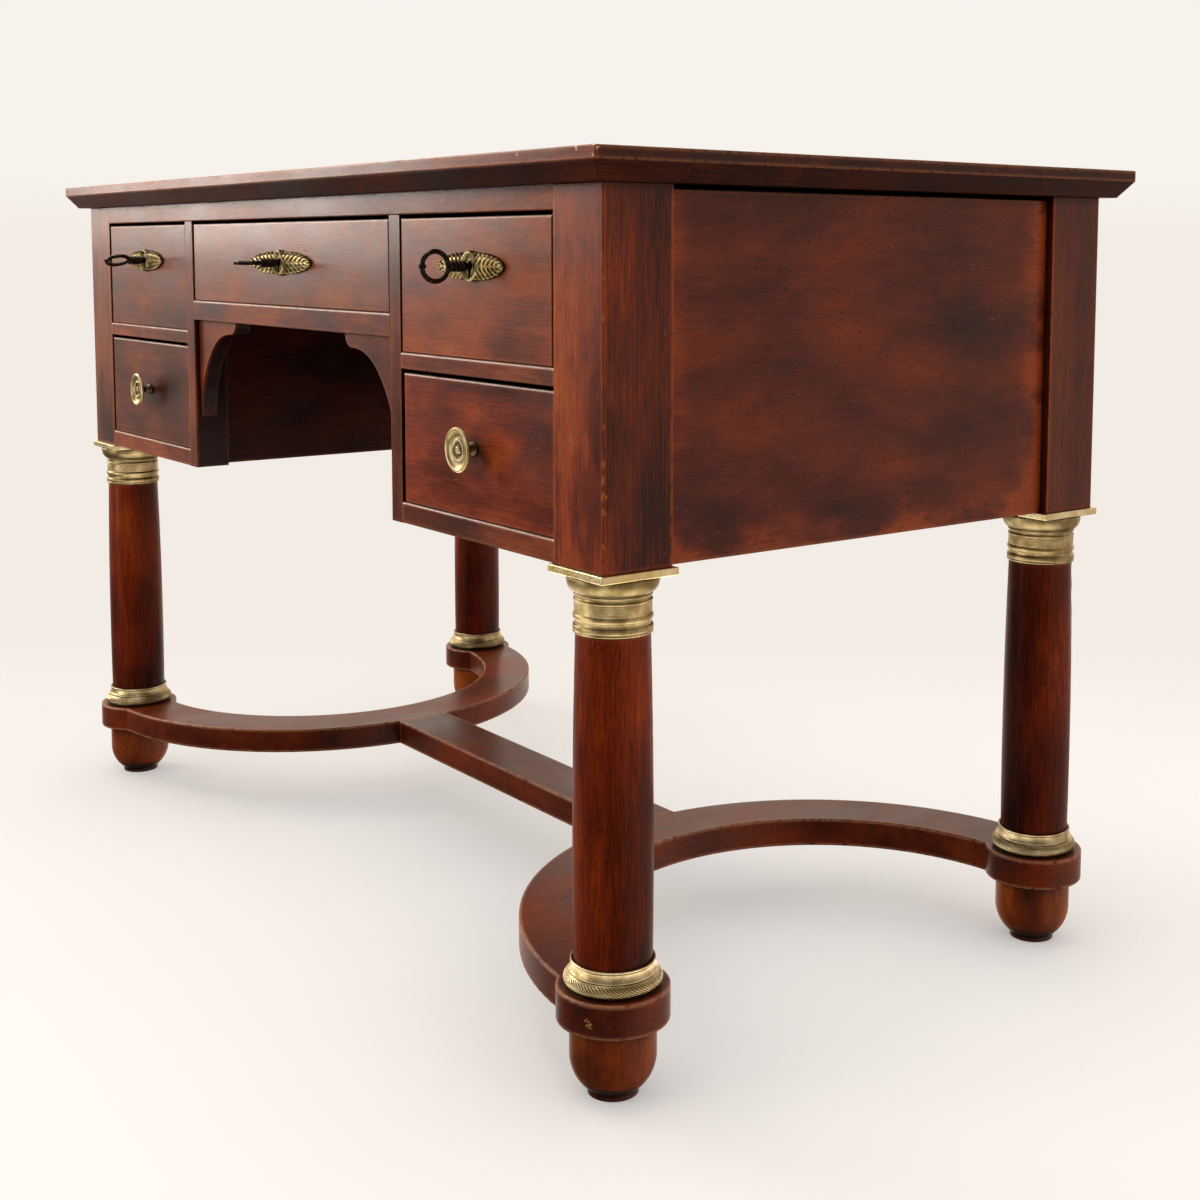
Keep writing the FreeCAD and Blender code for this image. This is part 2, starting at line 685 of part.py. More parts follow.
def key(turn):
    """A pipe key: hollow shank, bit, ringed collar and a round bow with a nib, turned about its axis."""
    inner = LOCK_WALL + KEY_BIT_GAP - FRONT_THICKNESS
    collar = KEY_STAND
    bow = collar + KEY_COLLAR_LENGTH + KEY_BOW_RADIUS
    steps = [V(0, 0, inner), V(KEY_SHANK_RADIUS, 0, inner), V(KEY_SHANK_RADIUS, 0, collar)]
    pitch = KEY_COLLAR_LENGTH / KEY_COLLAR_RINGS
    for ring in range(KEY_COLLAR_RINGS):
        low = collar + ring * pitch
        edge = KEY_COLLAR_RADIUS - KEY_COLLAR_GROOVE
        steps.append(V(edge, 0, low))
        steps.append((V(KEY_COLLAR_RADIUS, 0, low + pitch / 2), V(edge, 0, low + pitch)))
    steps.append(V(0, 0, collar + KEY_COLLAR_LENGTH))
    shank = turned(*steps)
    ring = Part.makeTorus(KEY_BOW_RADIUS, KEY_BOW_WIRE, V(0, 0, bow), ACROSS)
    far = bow + KEY_BOW_RADIUS
    nib = disc(KEY_NIB_RADIUS, far - KEY_NIB_LENGTH / 2, far + KEY_NIB_LENGTH / 2)
    half = KEY_BIT_THICKNESS / 2
    bit = block(-half, half, -KEY_BIT_REACH, 0, inner, inner + KEY_BIT_WIDTH)
    shape = shank.fuse([ring, nib, bit]).removeSplitter()
    bore = disc(KEY_PIN_RADIUS + KEY_PIN_GAP, inner - OVERRUN, inner + KEY_PIN_LENGTH)
    shape = shape.cut(bore)
    shape.rotate(ORIGIN, UP, -turn)
    return shape


def leaf(length):
    """The right-hand leaf of a plate: scalloped edges that close in to the tip."""
    reach = length / 2 - PLATE_TIP

    def edge(share):
        return V(reach * share, PLATE_HEIGHT / 2 * math.sqrt(1 - share ** 2) + PLATE_TIP * share / 2, 0)

    stations = [number / PLATE_LOBE_COUNT for number in range(PLATE_LOBE_COUNT + 1)]
    upper = [edge(share) for share in stations]
    steps = []
    for low, high in zip(upper, upper[1:]):
        along = (high - low).normalize()
        middle = (low + high) / 2 + V(-along.y, along.x, 0) * PLATE_LOBE_RISE
        steps.append((middle, high))
    flip = [V(point.x, -point.y, 0) for point in reversed(upper)]
    steps.append((V(length / 2, 0, 0), flip[0]))
    for low, high in zip(flip, flip[1:]):
        along = (high - low).normalize()
        middle = (low + high) / 2 + V(-along.y, along.x, 0) * PLATE_LOBE_RISE
        steps.append((middle, high))
    return Part.Face(outline(upper[0], *steps)).extrude(V(0, 0, PLATE_THICKNESS))


def escutcheon(length):
    """The plate, its raised ring, and the keyhole through it."""
    right = leaf(length)
    crown = PLATE_THICKNESS + PLATE_RING_RISE
    inner = PLATE_RING_RADIUS - PLATE_RING_WIDTH
    ring = turned(
        V(0, 0, 0), V(PLATE_RING_RADIUS, 0, 0), V(PLATE_RING_RADIUS, 0, PLATE_THICKNESS),
        (V((inner + PLATE_RING_RADIUS) / 2, 0, crown), V(inner, 0, PLATE_THICKNESS)), V(0, 0, PLATE_THICKNESS),
    )
    shape = right.fuse([mirrored(right), ring]).removeSplitter()
    return shape.cut(keyhole(-OVERRUN, crown + OVERRUN))


def knob():
    """A dished disc with turned rings on a stem and a small rose, and its shank through the front."""
    rim_low = KNOB_STAND - KNOB_RIM
    dish = KNOB_STAND - KNOB_DISH
    ring_outer, ring_inner = (KNOB_RADIUS * share for share in KNOB_RING_SHARES)
    boss = KNOB_RADIUS * KNOB_BOSS_SHARE
    lip = KNOB_RADIUS - KNOB_RIM / 2
    neck = (KNOB_ROSE_HEIGHT + rim_low) / 2
    end = -FRONT_THICKNESS - KNOB_NUT_HEIGHT - KNOB_GAP
    return turned(
        V(0, 0, end), V(KNOB_SHANK_RADIUS, 0, end), V(KNOB_SHANK_RADIUS, 0, 0),
        V(KNOB_ROSE_RADIUS, 0, 0), V(KNOB_ROSE_RADIUS, 0, KNOB_ROSE_HEIGHT / 2),
        V(KNOB_STEM_RADIUS, 0, KNOB_ROSE_HEIGHT), V(KNOB_STEM_RADIUS, 0, neck),
        (V((KNOB_STEM_RADIUS + lip) / 2, 0, (neck + 3 * rim_low) / 4), V(lip, 0, rim_low)),
        (V(KNOB_RADIUS, 0, KNOB_STAND - KNOB_RIM / 2), V(lip, 0, KNOB_STAND)),
        (V((lip + ring_outer) / 2, 0, dish), V(ring_outer, 0, dish + KNOB_DISH / 2)),
        (V((ring_outer + ring_inner) / 2, 0, dish), V(ring_inner, 0, dish + KNOB_DISH / 2)),
        V(boss, 0, dish), V(boss, 0, dish + KNOB_DISH / 2), V(0, 0, dish + KNOB_DISH / 2),
    )


def knob_nut():
    """The round nut inside the drawer."""
    nut = disc(KNOB_NUT_RADIUS, -FRONT_THICKNESS - KNOB_NUT_HEIGHT, -FRONT_THICKNESS)
    return nut.cut(disc(KNOB_SHANK_RADIUS + KNOB_GAP, -FRONT_THICKNESS - KNOB_NUT_HEIGHT - OVERRUN, 0))


# Legs and stretchers

def foot():
    """A bowl on a small pad, with the hole for the column's tenon."""
    bowl_z = PAD_HEIGHT + math.sqrt(FOOT_RADIUS ** 2 - PAD_RADIUS ** 2)
    slope = math.atan2(PAD_RADIUS, bowl_z - PAD_HEIGHT)
    half_way = (slope + math.pi / 2) / 2
    cheek = V(FOOT_RADIUS * math.sin(half_way), 0, bowl_z - FOOT_RADIUS * math.cos(half_way))
    shape = turned(
        V(0, 0, 0), V(PAD_RADIUS, 0, 0), V(PAD_RADIUS, 0, PAD_HEIGHT),
        (cheek, V(FOOT_RADIUS, 0, bowl_z)), V(FOOT_RADIUS, 0, FOOT_HEIGHT), V(0, 0, FOOT_HEIGHT),
    )
    hole_z = FOOT_HEIGHT - TENON_INTO_FOOT - JOINT_GAP
    return shape.cut(disc(TENON_RADIUS + SLEEVE_GAP, hole_z, FOOT_HEIGHT + OVERRUN))


def column():
    """A shaft with a slight swell, a spigot inside the capital, and a round tenon at each end."""
    belly_z = lobe_top + COLUMN_BELLY_SHARE * (capital_z - lobe_top)
    low = FOOT_HEIGHT - TENON_INTO_FOOT
    high = case_bottom + TENON_INTO_POST
    return turned(
        V(0, 0, low), V(TENON_RADIUS, 0, low), V(TENON_RADIUS, 0, lobe_top), V(COLUMN_FOOT_RADIUS, 0, lobe_top),
        (V(COLUMN_BELLY_RADIUS, 0, belly_z), V(COLUMN_NECK_RADIUS, 0, capital_z)),
        V(SPIGOT_RADIUS, 0, capital_z), V(SPIGOT_RADIUS, 0, abacus_z), V(TENON_RADIUS, 0, abacus_z),
        V(TENON_RADIUS, 0, high), V(0, 0, high),
    )


def base_ring():
    """A brass collar round the shaft's foot: a fat roll, a hollow and a thin lip."""
    bore = COLUMN_BELLY_RADIUS + SLEEVE_GAP
    roll = RING_RADIUS - RING_TORUS_HEIGHT / 2
    hollow = lobe_top + RING_TORUS_HEIGHT
    lip = lobe_top + RING_HEIGHT - RING_LIP_HEIGHT
    return turned(
        V(bore, 0, lobe_top), V(roll, 0, lobe_top),
        (V(RING_RADIUS, 0, lobe_top + RING_TORUS_HEIGHT / 2), V(roll + RING_FILLET, 0, hollow)),
        (V((roll + RING_LIP_RADIUS) / 2 - RING_FILLET / 2, 0, (hollow + lip) / 2), V(RING_LIP_RADIUS, 0, lip)),
        V(RING_LIP_RADIUS, 0, lip + RING_LIP_HEIGHT), V(bore, 0, lip + RING_LIP_HEIGHT),
    )


def capital():
    """A brass sleeve round the shaft's top: rings and a plain band below, a flare under the plate."""
    bore = SPIGOT_RADIUS + SLEEVE_GAP
    steps = [V(bore, 0, capital_z)]
    here = steps[0]
    for height_share, relief_share, swell_share in CAPITAL_NECK_SHARES:
        end = V(CAPITAL_RADIUS + relief_share * CAPITAL_BEAD, 0, capital_z + height_share * CAPITAL_HEIGHT)
        swell = V((here.x + end.x) / 2 + swell_share * CAPITAL_BEAD, 0, (here.z + end.z) / 2)
        steps.append((swell, end) if swell_share else end)
        here = end
    low, high = (capital_z + share * CAPITAL_HEIGHT for share in CAPITAL_FLARE_SHARES)
    edge = CAPITAL_RADIUS + CAPITAL_FLARE
    turn = math.radians(45)
    ovolo = V(edge - CAPITAL_FLARE * (1 - math.sin(turn)), 0, high - (high - low) * math.cos(turn))
    steps += [V(CAPITAL_RADIUS, 0, low), (ovolo, V(edge, 0, high)), V(edge, 0, abacus_z), V(bore, 0, abacus_z)]
    return turned(*steps)


def abacus():
    """The square brass plate between a capital and its post."""
    half = POST_WIDTH / 2 + ABACUS_LIP
    plate = block(-half, half, -half, half, abacus_z, case_bottom)
    plate = rounded(plate, ABACUS_ROUND, lambda middle: True)
    return plate.cut(disc(TENON_RADIUS + SLEEVE_GAP, abacus_z - OVERRUN, case_bottom + OVERRUN))


def rail_apex():
    """Where the outer curve of the right stretcher crosses the middle of the desk."""
    return leg_x - STRETCHER_REACH - leg_y - STRETCHER_WIDTH / 2


def stretcher_tenon():
    """The tenon of the straight rail in the right stretcher."""
    half = STRETCHER_RAIL_WIDTH * RAIL_TENON_SHARE
    thick = STRETCHER_THICKNESS * RAIL_TENON_SHARE / 2
    middle = FOOT_HEIGHT + STRETCHER_THICKNESS / 2
    apex = rail_apex()
    return (apex, apex + RAIL_TENON_LENGTH, -half, half, middle - thick, middle + thick)


def stretcher():
    """The right C-shaped stretcher: half a ring between two round lobes."""
    outer = leg_y + STRETCHER_WIDTH / 2
    inner = leg_y - STRETCHER_WIDTH / 2
    ring = disc(outer, FOOT_HEIGHT, lobe_top).cut(disc(inner, FOOT_HEIGHT - OVERRUN, lobe_top + OVERRUN))
    ring = at(ring.common(block(-outer, 0, -outer, outer, FOOT_HEIGHT, lobe_top)), -STRETCHER_REACH, 0)
    lobes = [at(disc(LOBE_RADIUS, FOOT_HEIGHT, lobe_top), 0, end * leg_y) for end in ENDS.values()]
    shape = ring.fuse(lobes).removeSplitter()
    levels = (FOOT_HEIGHT, lobe_top)
    shape = rounded(shape, STRETCHER_ROUND, lambda middle: min(abs(middle.z - z) for z in levels) < TOUCH)
    hole = disc(TENON_RADIUS + SLEEVE_GAP, FOOT_HEIGHT - OVERRUN, lobe_top + OVERRUN)
    shape = at(shape.cut([at(hole, 0, end * leg_y) for end in ENDS.values()]), leg_x, 0)
    return mortised(shape, [stretcher_tenon()])


def stretcher_rail():
    """The straight rail, its ends hollowed to sit on the curved stretchers, with a tenon in each."""
    half = STRETCHER_RAIL_WIDTH / 2
    shape = block(-leg_x, leg_x, -half, half, FOOT_HEIGHT, lobe_top)
    levels = (FOOT_HEIGHT, lobe_top)
    shape = rounded(shape, STRETCHER_ROUND,
                    lambda m: abs(abs(m.y) - half) < TOUCH and min(abs(m.z - z) for z in levels) < TOUCH)
    curve = disc(leg_y + STRETCHER_WIDTH / 2 + JOINT_GAP, FOOT_HEIGHT - OVERRUN, lobe_top + OVERRUN)
    shape = shape.cut([at(curve, side * (leg_x - STRETCHER_REACH), 0) for side in SIDES.values()])
    x0, x1, y0, y1, z0, z1 = stretcher_tenon()
    curved = block(x0 - STRETCHER_WIDTH / 2, x1, y0, y1, z0, z1)
    return shape.fuse(both_sides(curved)).removeSplitter()


# Write every node

os.makedirs("parts", exist_ok=True)

save("top_board", top_board())
save("top_moulding", *top_mouldings())
for end in ENDS:
    for side, solid in zip(SIDES, both_sides(post(ENDS[end]))):
        save(f"post_{end}_{side}", solid)
save("top_rail", front_rail("top_rail"))
save("centre_rail", front_rail("centre_rail"))
for level in ("mid", "bottom"):
    save(f"{level}_rails", *[front_rail(f"{level}_rail_{side}") for side in SIDES])
for side in SIDES:
    save(f"divider_{side}", divider(SIDES[side]))
for side, panel, wall in zip(SIDES, both_sides(end_panel()), both_sides(knee_panel())):
    save(f"end_panel_{side}", panel)
    save(f"knee_panel_{side}", wall)
save("back_panel", back_panel())
save("pedestal_floors", *both_sides(floor()))
save("knee_brackets", *both_sides(bracket()))
save("drawer_runners", *runners())
save("drawer_kickers", *kickers())
save("drawer_stops", *stops())

for bay in BAYS:
    save(f"drawer_front_{bay}", drawer_front(bay))
    save(f"drawer_box_{bay}", *drawer_box(bay))
for place, bay in LOCKS.items():
    middle = bay_middle(bay)
    save(f"lock_case_{place}", hung(lock_case(), middle, keyhole_z))
    save(f"lock_bolt_{place}", hung(lock_bolt(), middle, keyhole_z))
    save(f"escutcheon_{place}", hung(escutcheon(PLATE_LENGTHS[place]), middle, keyhole_z))
    save(f"key_{place}", hung(key(KEY_TURNS[place]), middle, keyhole_z))
for place, bay in KNOBS.items():
    height = (BAYS[bay][2] + BAYS[bay][3]) / 2
    save(f"knob_{place}", *[hung(piece, bay_middle(bay), height) for piece in (knob(), knob_nut())])

for name, x, y in LEGS:
    save(f"foot_{name}", at(foot(), x, y))
    save(f"column_{name}", at(column(), x, y))
save("base_rings", *[at(base_ring(), x, y) for name, x, y in LEGS])
save("capitals", *[at(capital(), x, y) for name, x, y in LEGS])
save("abacus_plates", *[at(abacus(), x, y) for name, x, y in LEGS])
for side, solid in zip(SIDES, both_sides(stretcher())):
    save(f"stretcher_{side}", solid)
save("stretcher_rail", stretcher_rail())
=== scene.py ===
import json
import math

import bmesh
import bpy
from mathutils import Matrix, Vector

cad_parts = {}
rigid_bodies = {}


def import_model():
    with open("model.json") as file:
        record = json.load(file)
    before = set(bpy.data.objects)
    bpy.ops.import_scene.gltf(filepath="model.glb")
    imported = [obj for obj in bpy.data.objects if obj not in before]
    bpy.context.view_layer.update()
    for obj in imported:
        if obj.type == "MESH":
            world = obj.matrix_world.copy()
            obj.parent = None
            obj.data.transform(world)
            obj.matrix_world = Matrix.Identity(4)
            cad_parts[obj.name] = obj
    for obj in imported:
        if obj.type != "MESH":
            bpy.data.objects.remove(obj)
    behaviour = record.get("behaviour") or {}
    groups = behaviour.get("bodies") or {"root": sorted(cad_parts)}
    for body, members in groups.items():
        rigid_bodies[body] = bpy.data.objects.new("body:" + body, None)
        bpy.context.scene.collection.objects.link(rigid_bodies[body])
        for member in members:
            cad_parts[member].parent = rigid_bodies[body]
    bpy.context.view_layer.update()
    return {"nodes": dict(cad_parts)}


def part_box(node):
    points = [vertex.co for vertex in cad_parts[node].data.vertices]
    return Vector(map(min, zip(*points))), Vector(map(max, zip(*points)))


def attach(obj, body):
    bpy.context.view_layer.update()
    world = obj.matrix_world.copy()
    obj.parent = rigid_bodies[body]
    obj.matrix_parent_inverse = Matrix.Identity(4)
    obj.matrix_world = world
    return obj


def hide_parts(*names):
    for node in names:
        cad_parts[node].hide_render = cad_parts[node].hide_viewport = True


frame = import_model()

# Feet
# Four turned bowls of solid mahogany on a small pad, each bored for the tenon of the column above it.
# Brooms and shoes have rubbed their polish through to the orange wood.

LEGS = ("front_left", "front_right", "back_left", "back_right")
MM = 0.001


def linear(hex_colour):
    """An sRGB hex colour as linear red, green, blue and alpha."""
    parts = [int(hex_colour[n:n + 2], 16) / 255 for n in (1, 3, 5)]
    return [p / 12.92 if p <= 0.04045 else ((p + 0.055) / 1.055) ** 2.4 for p in parts] + [1.0]


def add(tree, kind, inputs, out=0, **settings):
    """Add one shader node with its settings, link or set its inputs, and give the output asked for."""
    made = tree.nodes.new(f"ShaderNode{kind}")
    for name, value in settings.items():
        setattr(made, name, value)
    for key, value in inputs.items():
        if isinstance(value, bpy.types.NodeSocket):
            tree.links.new(value, made.inputs[key])
        else:
            made.inputs[key].default_value = value
    return made.outputs[out]


def blank(name):
    """A new material: itself, its node tree and the surface shader in it."""
    material = bpy.data.materials.new(name)
    material.use_nodes = True
    return material, material.node_tree, material.node_tree.nodes["Principled BSDF"]


def dressed(material, *nodes):
    """Give pieces of the frame this material."""
    for node in nodes:
        for slot in frame["nodes"][node].material_slots:
            slot.material = material


def old_wood(name, along, tones, bands=0.25, streaks=0.4, patches=0.8, clouds=0.3, bloom=0.45, wear=0.4,
             rubbed="#c07a4c", rubs=(), arris=(), chips=(), deep_shade=0.0, film=0.38, gloss=0.2, dull=0.4):
    """Mahogany or oak, two centuries old, and French polished unless film is 0.

    The eye sees a deep red-brown under a clear film, fine streaks of grain with short dark pores, cloudy
    patches where the film has gone, small black dents, rubbed edges with dark chips, and painted shade in
    corners. The grain lies along the axes in along, and tones run from deep wood to rubbed wood. bands,
    streaks, patches and clouds say how much each pattern counts in the tone, and bloom how grey the clouds
    are. wear is how far edges are rubbed. rubs are strips that are worn or, below zero, darker, some of them
    painted shade. arris strips have pale edges, partly rubbed and partly a painted highlight; chips are spots
    of bare wood. deep_shade is how much painted shade darkens deep places. gloss is the film's roughness, and
    dull that of the wood.
    """
    material, tree, surface = blank(name)
    spot = add(tree, "TexCoord", {}, "Object")
    # Every board is shifted in the patterns, so that no two show the same figure
    board = add(tree, "ObjectInfo", {}, "Random")
    shift = add(tree, "VectorMath", {0: board, 1: (7.1, 5.3, 3.7)}, operation="MULTIPLY")
    place = add(tree, "VectorMath", {0: spot, 1: shift}, operation="ADD")

    # Each pattern: its length along the grain and its width across it in millimetres, and its octaves. Real
    # pores are 0.2 mm wide, and are drawn 0.8 mm wide so that they show.
    patterns = {
        "bands": (500, 26, 3), "streaks": (40, 1.4, 3), "pores": (8, 0.8, 1),
        "clouds": (150, 80, 4), "patches": (120, 55, 9), "ripple": (120, 70, 1),
        "nicks": (9, 6, 4), "dents": (7, 3, 1), "scuffs": (11, 2.2, 2),
    }
    field = {}
    for pattern, (length, width, octaves) in patterns.items():
        stretch = [1 / ((length if axis in along else width) * MM) for axis in "XYZ"]
        stretched = add(tree, "VectorMath", {0: place, 1: stretch}, operation="MULTIPLY")
        inputs = {"Vector": stretched, "Scale": 1.0, "Detail": octaves, "Roughness": 0.6}
        field[pattern] = add(tree, "TexNoise", inputs)

    # A strip along an axis: where it starts and where it is full
    strips = {}
    for axis, start, full in [rub[:3] for rub in rubs] + list(arris):
        inputs = {"Value": add(tree, "SeparateXYZ", {0: spot}, axis), "From Min": start, "From Max": full}
        strips[axis, start, full] = add(tree, "MapRange", inputs, interpolation_type="SMOOTHSTEP")

    # The tone of the wood is the sum of the patterns, 0.5 on average, and each rub raises or lowers it
    weights = {"bands": bands, "streaks": streaks, "patches": patches, "clouds": -clouds}
    tone = 0.5 - sum(weights.values()) / 2
    for pattern, weight in weights.items():
        tone = add(tree, "Math", {0: field[pattern], 1: weight, 2: tone}, operation="MULTIPLY_ADD")
    inputs = {"Value": field["patches"], "From Min": 0.36, "From Max": 0.6}
    uneven = add(tree, "MapRange", inputs, interpolation_type="SMOOTHSTEP")
    for *strip, weight in rubs:
        rub = strips[tuple(strip)]
        if weight > 0:
            rub = add(tree, "Math", {0: rub, 1: uneven}, operation="MULTIPLY")
        tone = add(tree, "Math", {0: rub, 1: weight, 2: tone}, operation="MULTIPLY_ADD")

    # A convex edge is found by looking inwards: close to it, the neighbouring face is near
    looking = {"samples": 5, "inside": True, "only_local": True}
    inside = add(tree, "AmbientOcclusion", {"Distance": 4 * MM}, "AO", **looking)
    air = add(tree, "AmbientOcclusion", {"Distance": 16 * MM}, "AO", samples=5)
    # Each mask: what it is read from, where it starts and where it is full, and its least and its most
    ranges = {
        "red": (tone, 0.24, 0.5, 0.0, 1.0), "brown": (tone, 0.43, 0.64, 0.0, 1.0),
        "orange": (tone, 0.58, 0.82, 0.0, 1.0), "grey": (field["clouds"], 0.5, 0.7, 0.0, 1.0),
        "pores": (field["pores"], 0.57, 0.68, 0.0, 1.0), "dents": (field["dents"], 0.73, 0.77, 0.0, 1.0),
        "scuffs": (field["scuffs"], 0.71, 0.77, 0.0, 1.0), "edges": (inside, 0.92, 0.62, 0.0, 1.0),
        "open": (air, 0.4, 0.9, 0.0, 1.0), "corners": (air, 0.8, 0.3, 0.0, 1.0),
        "thinned": (field["nicks"], 0.33, 0.53, 0.3, 1.0), "broken": (field["nicks"], 0.4, 0.34, 0.0, 1.0),
        "handled": (field["nicks"], 0.3, 0.5, 0.4, 0.95),
        "rough": (field["patches"], 0.3, 0.7, dull - 0.08, dull + 0.16),
    }
    # Painted shade: deep places, where a wide look round finds much near, are darkened
    if deep_shade:
        room = add(tree, "AmbientOcclusion", {"Distance": 300 * MM}, "AO", samples=6)
        ranges["deep"] = (room, 0.5, 0.12, 0.0, 1.0)
    # The scuffs move a chip's outline in and out, by shares of its width, so that it is ragged
    ragged_by, chip_start, chip_full = 3.0, 2.05, 1.75
    for chip, (middle, width, bare) in enumerate(chips):
        apart = add(tree, "VectorMath", {0: spot, 1: middle}, "Value", operation="DISTANCE")
        inputs = {0: field["scuffs"], 1: ragged_by * width, 2: apart}
        ragged = add(tree, "Math", inputs, operation="MULTIPLY_ADD")
        ranges[f"chip_{chip}"] = (ragged, chip_start * width, chip_full * width, 0.0, 1.0)
    mask = {}
    for key, (source, start, full, least, most) in ranges.items():
        inputs = {"Value": source, "From Min": start, "From Max": full, "To Min": least, "To Max": most}
        mask[key] = add(tree, "MapRange", inputs, interpolation_type="SMOOTHSTEP")
    thinned = add(tree, "Math", {0: mask["edges"], 1: mask["thinned"]}, operation="MULTIPLY")
    worn = add(tree, "Math", {0: thinned, 1: mask["open"]}, operation="MULTIPLY")
    chipped = add(tree, "Math", {0: mask["edges"], 1: mask["broken"]}, operation="MULTIPLY")

    # Each layer of colour over the deep wood: its mask, how much of it shows, and its colour. A Mix node
    # takes its colours at inputs 6 and 7, and gives the mixed one at output 2.
    layers = [
        (mask["red"], 1.0, tones[1]), (mask["brown"], 1.0, tones[2]), (mask["orange"], 1.0, tones[3]),
        (mask["grey"], bloom, "#35282a"), (mask["pores"], 0.5, tones[0]), (mask["scuffs"], 0.4, "#b07a5c"),
        (mask["dents"], 0.85, "#100503"), (worn, wear, rubbed), (chipped, wear, "#1c0905"),
    ]
    # The pale upper edges: partly polish rubbed pale, partly a painted highlight
    for strip in arris:
        edge = add(tree, "Math", {0: strips[strip], 1: mask["edges"]}, operation="MULTIPLY")
        edge = add(tree, "Math", {0: edge, 1: mask["handled"]}, operation="MULTIPLY")
        layers.append((edge, 1.0, "#dcc8bd"))
    # Painted shade in corners and between parts, where other faces close in
    layers.append((mask["corners"], 0.85, "#120503"))
    if deep_shade:
        layers.append((mask["deep"], deep_shade, "#0a0201"))
    layers += [(mask[f"chip_{chip}"], 1.0, bare) for chip, (middle, width, bare) in enumerate(chips)]
    colour = linear(tones[0])
    for shape, most, tint in layers:
        share = add(tree, "Math", {0: shape, 1: most}, operation="MULTIPLY")
        colour = add(tree, "Mix", {0: share, 6: colour, 7: linear(tint)}, 2, data_type="RGBA")

    # What stands up or lies low in the surface, in half millimetres
    rises = [(field["streaks"], 0.12), (mask["pores"], -0.1), (mask["dents"], -0.8), (field["ripple"], 2.5),
             (chipped, -0.8)]
    height = 0.0
    for shape, rise in rises:
        height = add(tree, "Math", {0: shape, 1: rise, 2: height}, operation="MULTIPLY_ADD")
    rounding = add(tree, "Bevel", {"Radius": 1.4 * MM}, samples=4)
    inputs = {"Height": height, "Strength": 0.35, "Distance": 0.5 * MM, "Normal": rounding}
    bump = add(tree, "Bump", inputs)

    linked = {"Base Color": colour, "Roughness": mask["rough"], "Normal": bump, "Coat Normal": bump}
    for socket, value in linked.items():
        tree.links.new(value, surface.inputs[socket])
    surface.inputs["Coat Weight"].default_value = film
    surface.inputs["Coat Roughness"].default_value = gloss
    surface.inputs["Specular IOR Level"].default_value = 0.1
    return material


FOOT_TONES = ("#3f1807", "#8a3c12", "#b05a1e", "#d28740")
FOOT_PAD = [("Z", 0.016, 0.008, -0.4)]
foot_wood = old_wood("rubbed_mahogany_feet", "Z", FOOT_TONES, bands=0.0, streaks=0.15, patches=1.0, wear=0.8,
                     rubs=FOOT_PAD, film=0.3)
dressed(foot_wood, *[f"foot_{leg}" for leg in LEGS])

# Stretchers
# Two C-shaped boards sawn from thick mahogany, with a round lobe under each column, and a straight rail that
# is tenoned between them. Two centuries of shoes have rounded the upper edges.

SHADED = ("#290b04", "#5a1f0a", "#7c3110", "#9c4c1e")
# The edges' pale colour is partly shoe wear and partly a painted highlight along the rims
PALE_EDGE_WEAR_AND_HIGHLIGHT = "#cf9674"
LOBE_CHIP = ((0.5668, -0.3045, 0.077), 0.006, "#ab8350")
curve_wood = old_wood("mahogany_stretcher_curves", "Y", SHADED, bands=0.2, streaks=0.25, patches=0.6,
                      wear=0.8, rubbed=PALE_EDGE_WEAR_AND_HIGHLIGHT, chips=[LOBE_CHIP])
dressed(curve_wood, "stretcher_left", "stretcher_right")
rail_wood = old_wood("mahogany_stretcher_rail", "X", SHADED, bands=0.2, streaks=0.25, patches=0.6,
                     wear=0.8, rubbed=PALE_EDGE_WEAR_AND_HIGHLIGHT, film=0.3)
dressed(rail_wood, "stretcher_rail")

# Columns
# Shafts with a slight swell, turned from solid mahogany with the grain upright. A round tenon at each end
# goes into the foot and the post. The polish is at its best here, and painted shade darkens the shafts
# towards the floor.

COLUMN_TONES = ("#2e0c04", "#6a2209", "#93390f", "#b85c20")
COLUMN_FOOT_SHADE = [("Z", 0.3, 0.13, -0.13)]
column_wood = old_wood("turned_mahogany_columns", "Z", COLUMN_TONES, patches=0.6, bloom=0.2, rubs=COLUMN_FOOT_SHADE,
                       film=0.12, gloss=0.18)
dressed(column_wood, *[f"column_{leg}" for leg in LEGS])

# Base rings
# A cast and turned brass collar round the foot of each column: a fat roll engraved with slanting strokes, a
# polished hollow above it, and a thin lip. It is slipped over the shaft and rests on the stretcher.

LEG_PLACES = {}
for leg in LEGS:
    low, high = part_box(f"column_{leg}")
    LEG_PLACES[leg] = ((low[0] + high[0]) / 2, (low[1] + high[1]) / 2)


def eased(points, closed, rounds):
    """Round the corners of a profile by cutting them off, again and again."""
    for _ in range(rounds):
        pairs = list(zip(points, points[1:] + points[:1] if closed else points[1:]))
        cut = [[p + (q - p) * share for p, q in zip(*pair)] for pair in pairs for share in (0.25, 0.75)]
        points = cut if closed else [points[0]] + cut + [points[-1]]
    return points


def turned(profile, closed, turns, place, engraved):
    """Turn a profile of radii and heights in millimetres about Z: points, faces and depths of the cuts."""
    rows = len(profile)
    x, y, z = place
    points, faces, depths = [], [], []
    for turn in range(turns):
        angle = 2 * math.pi * turn / turns
        for radius, height in profile:
            depth = engraved(angle, height)
            reach = (radius - depth) * MM
            points.append((x + reach * math.cos(angle), y + reach * math.sin(angle), z + height * MM))
            depths.append(depth)
    for turn in range(turns):
        here, there = turn * rows, (turn + 1) % turns * rows
        for row in range(rows if closed else rows - 1):
            after = (row + 1) % rows
            faces.append((here + row, there + row, there + after, here + after))
    return points, faces, depths


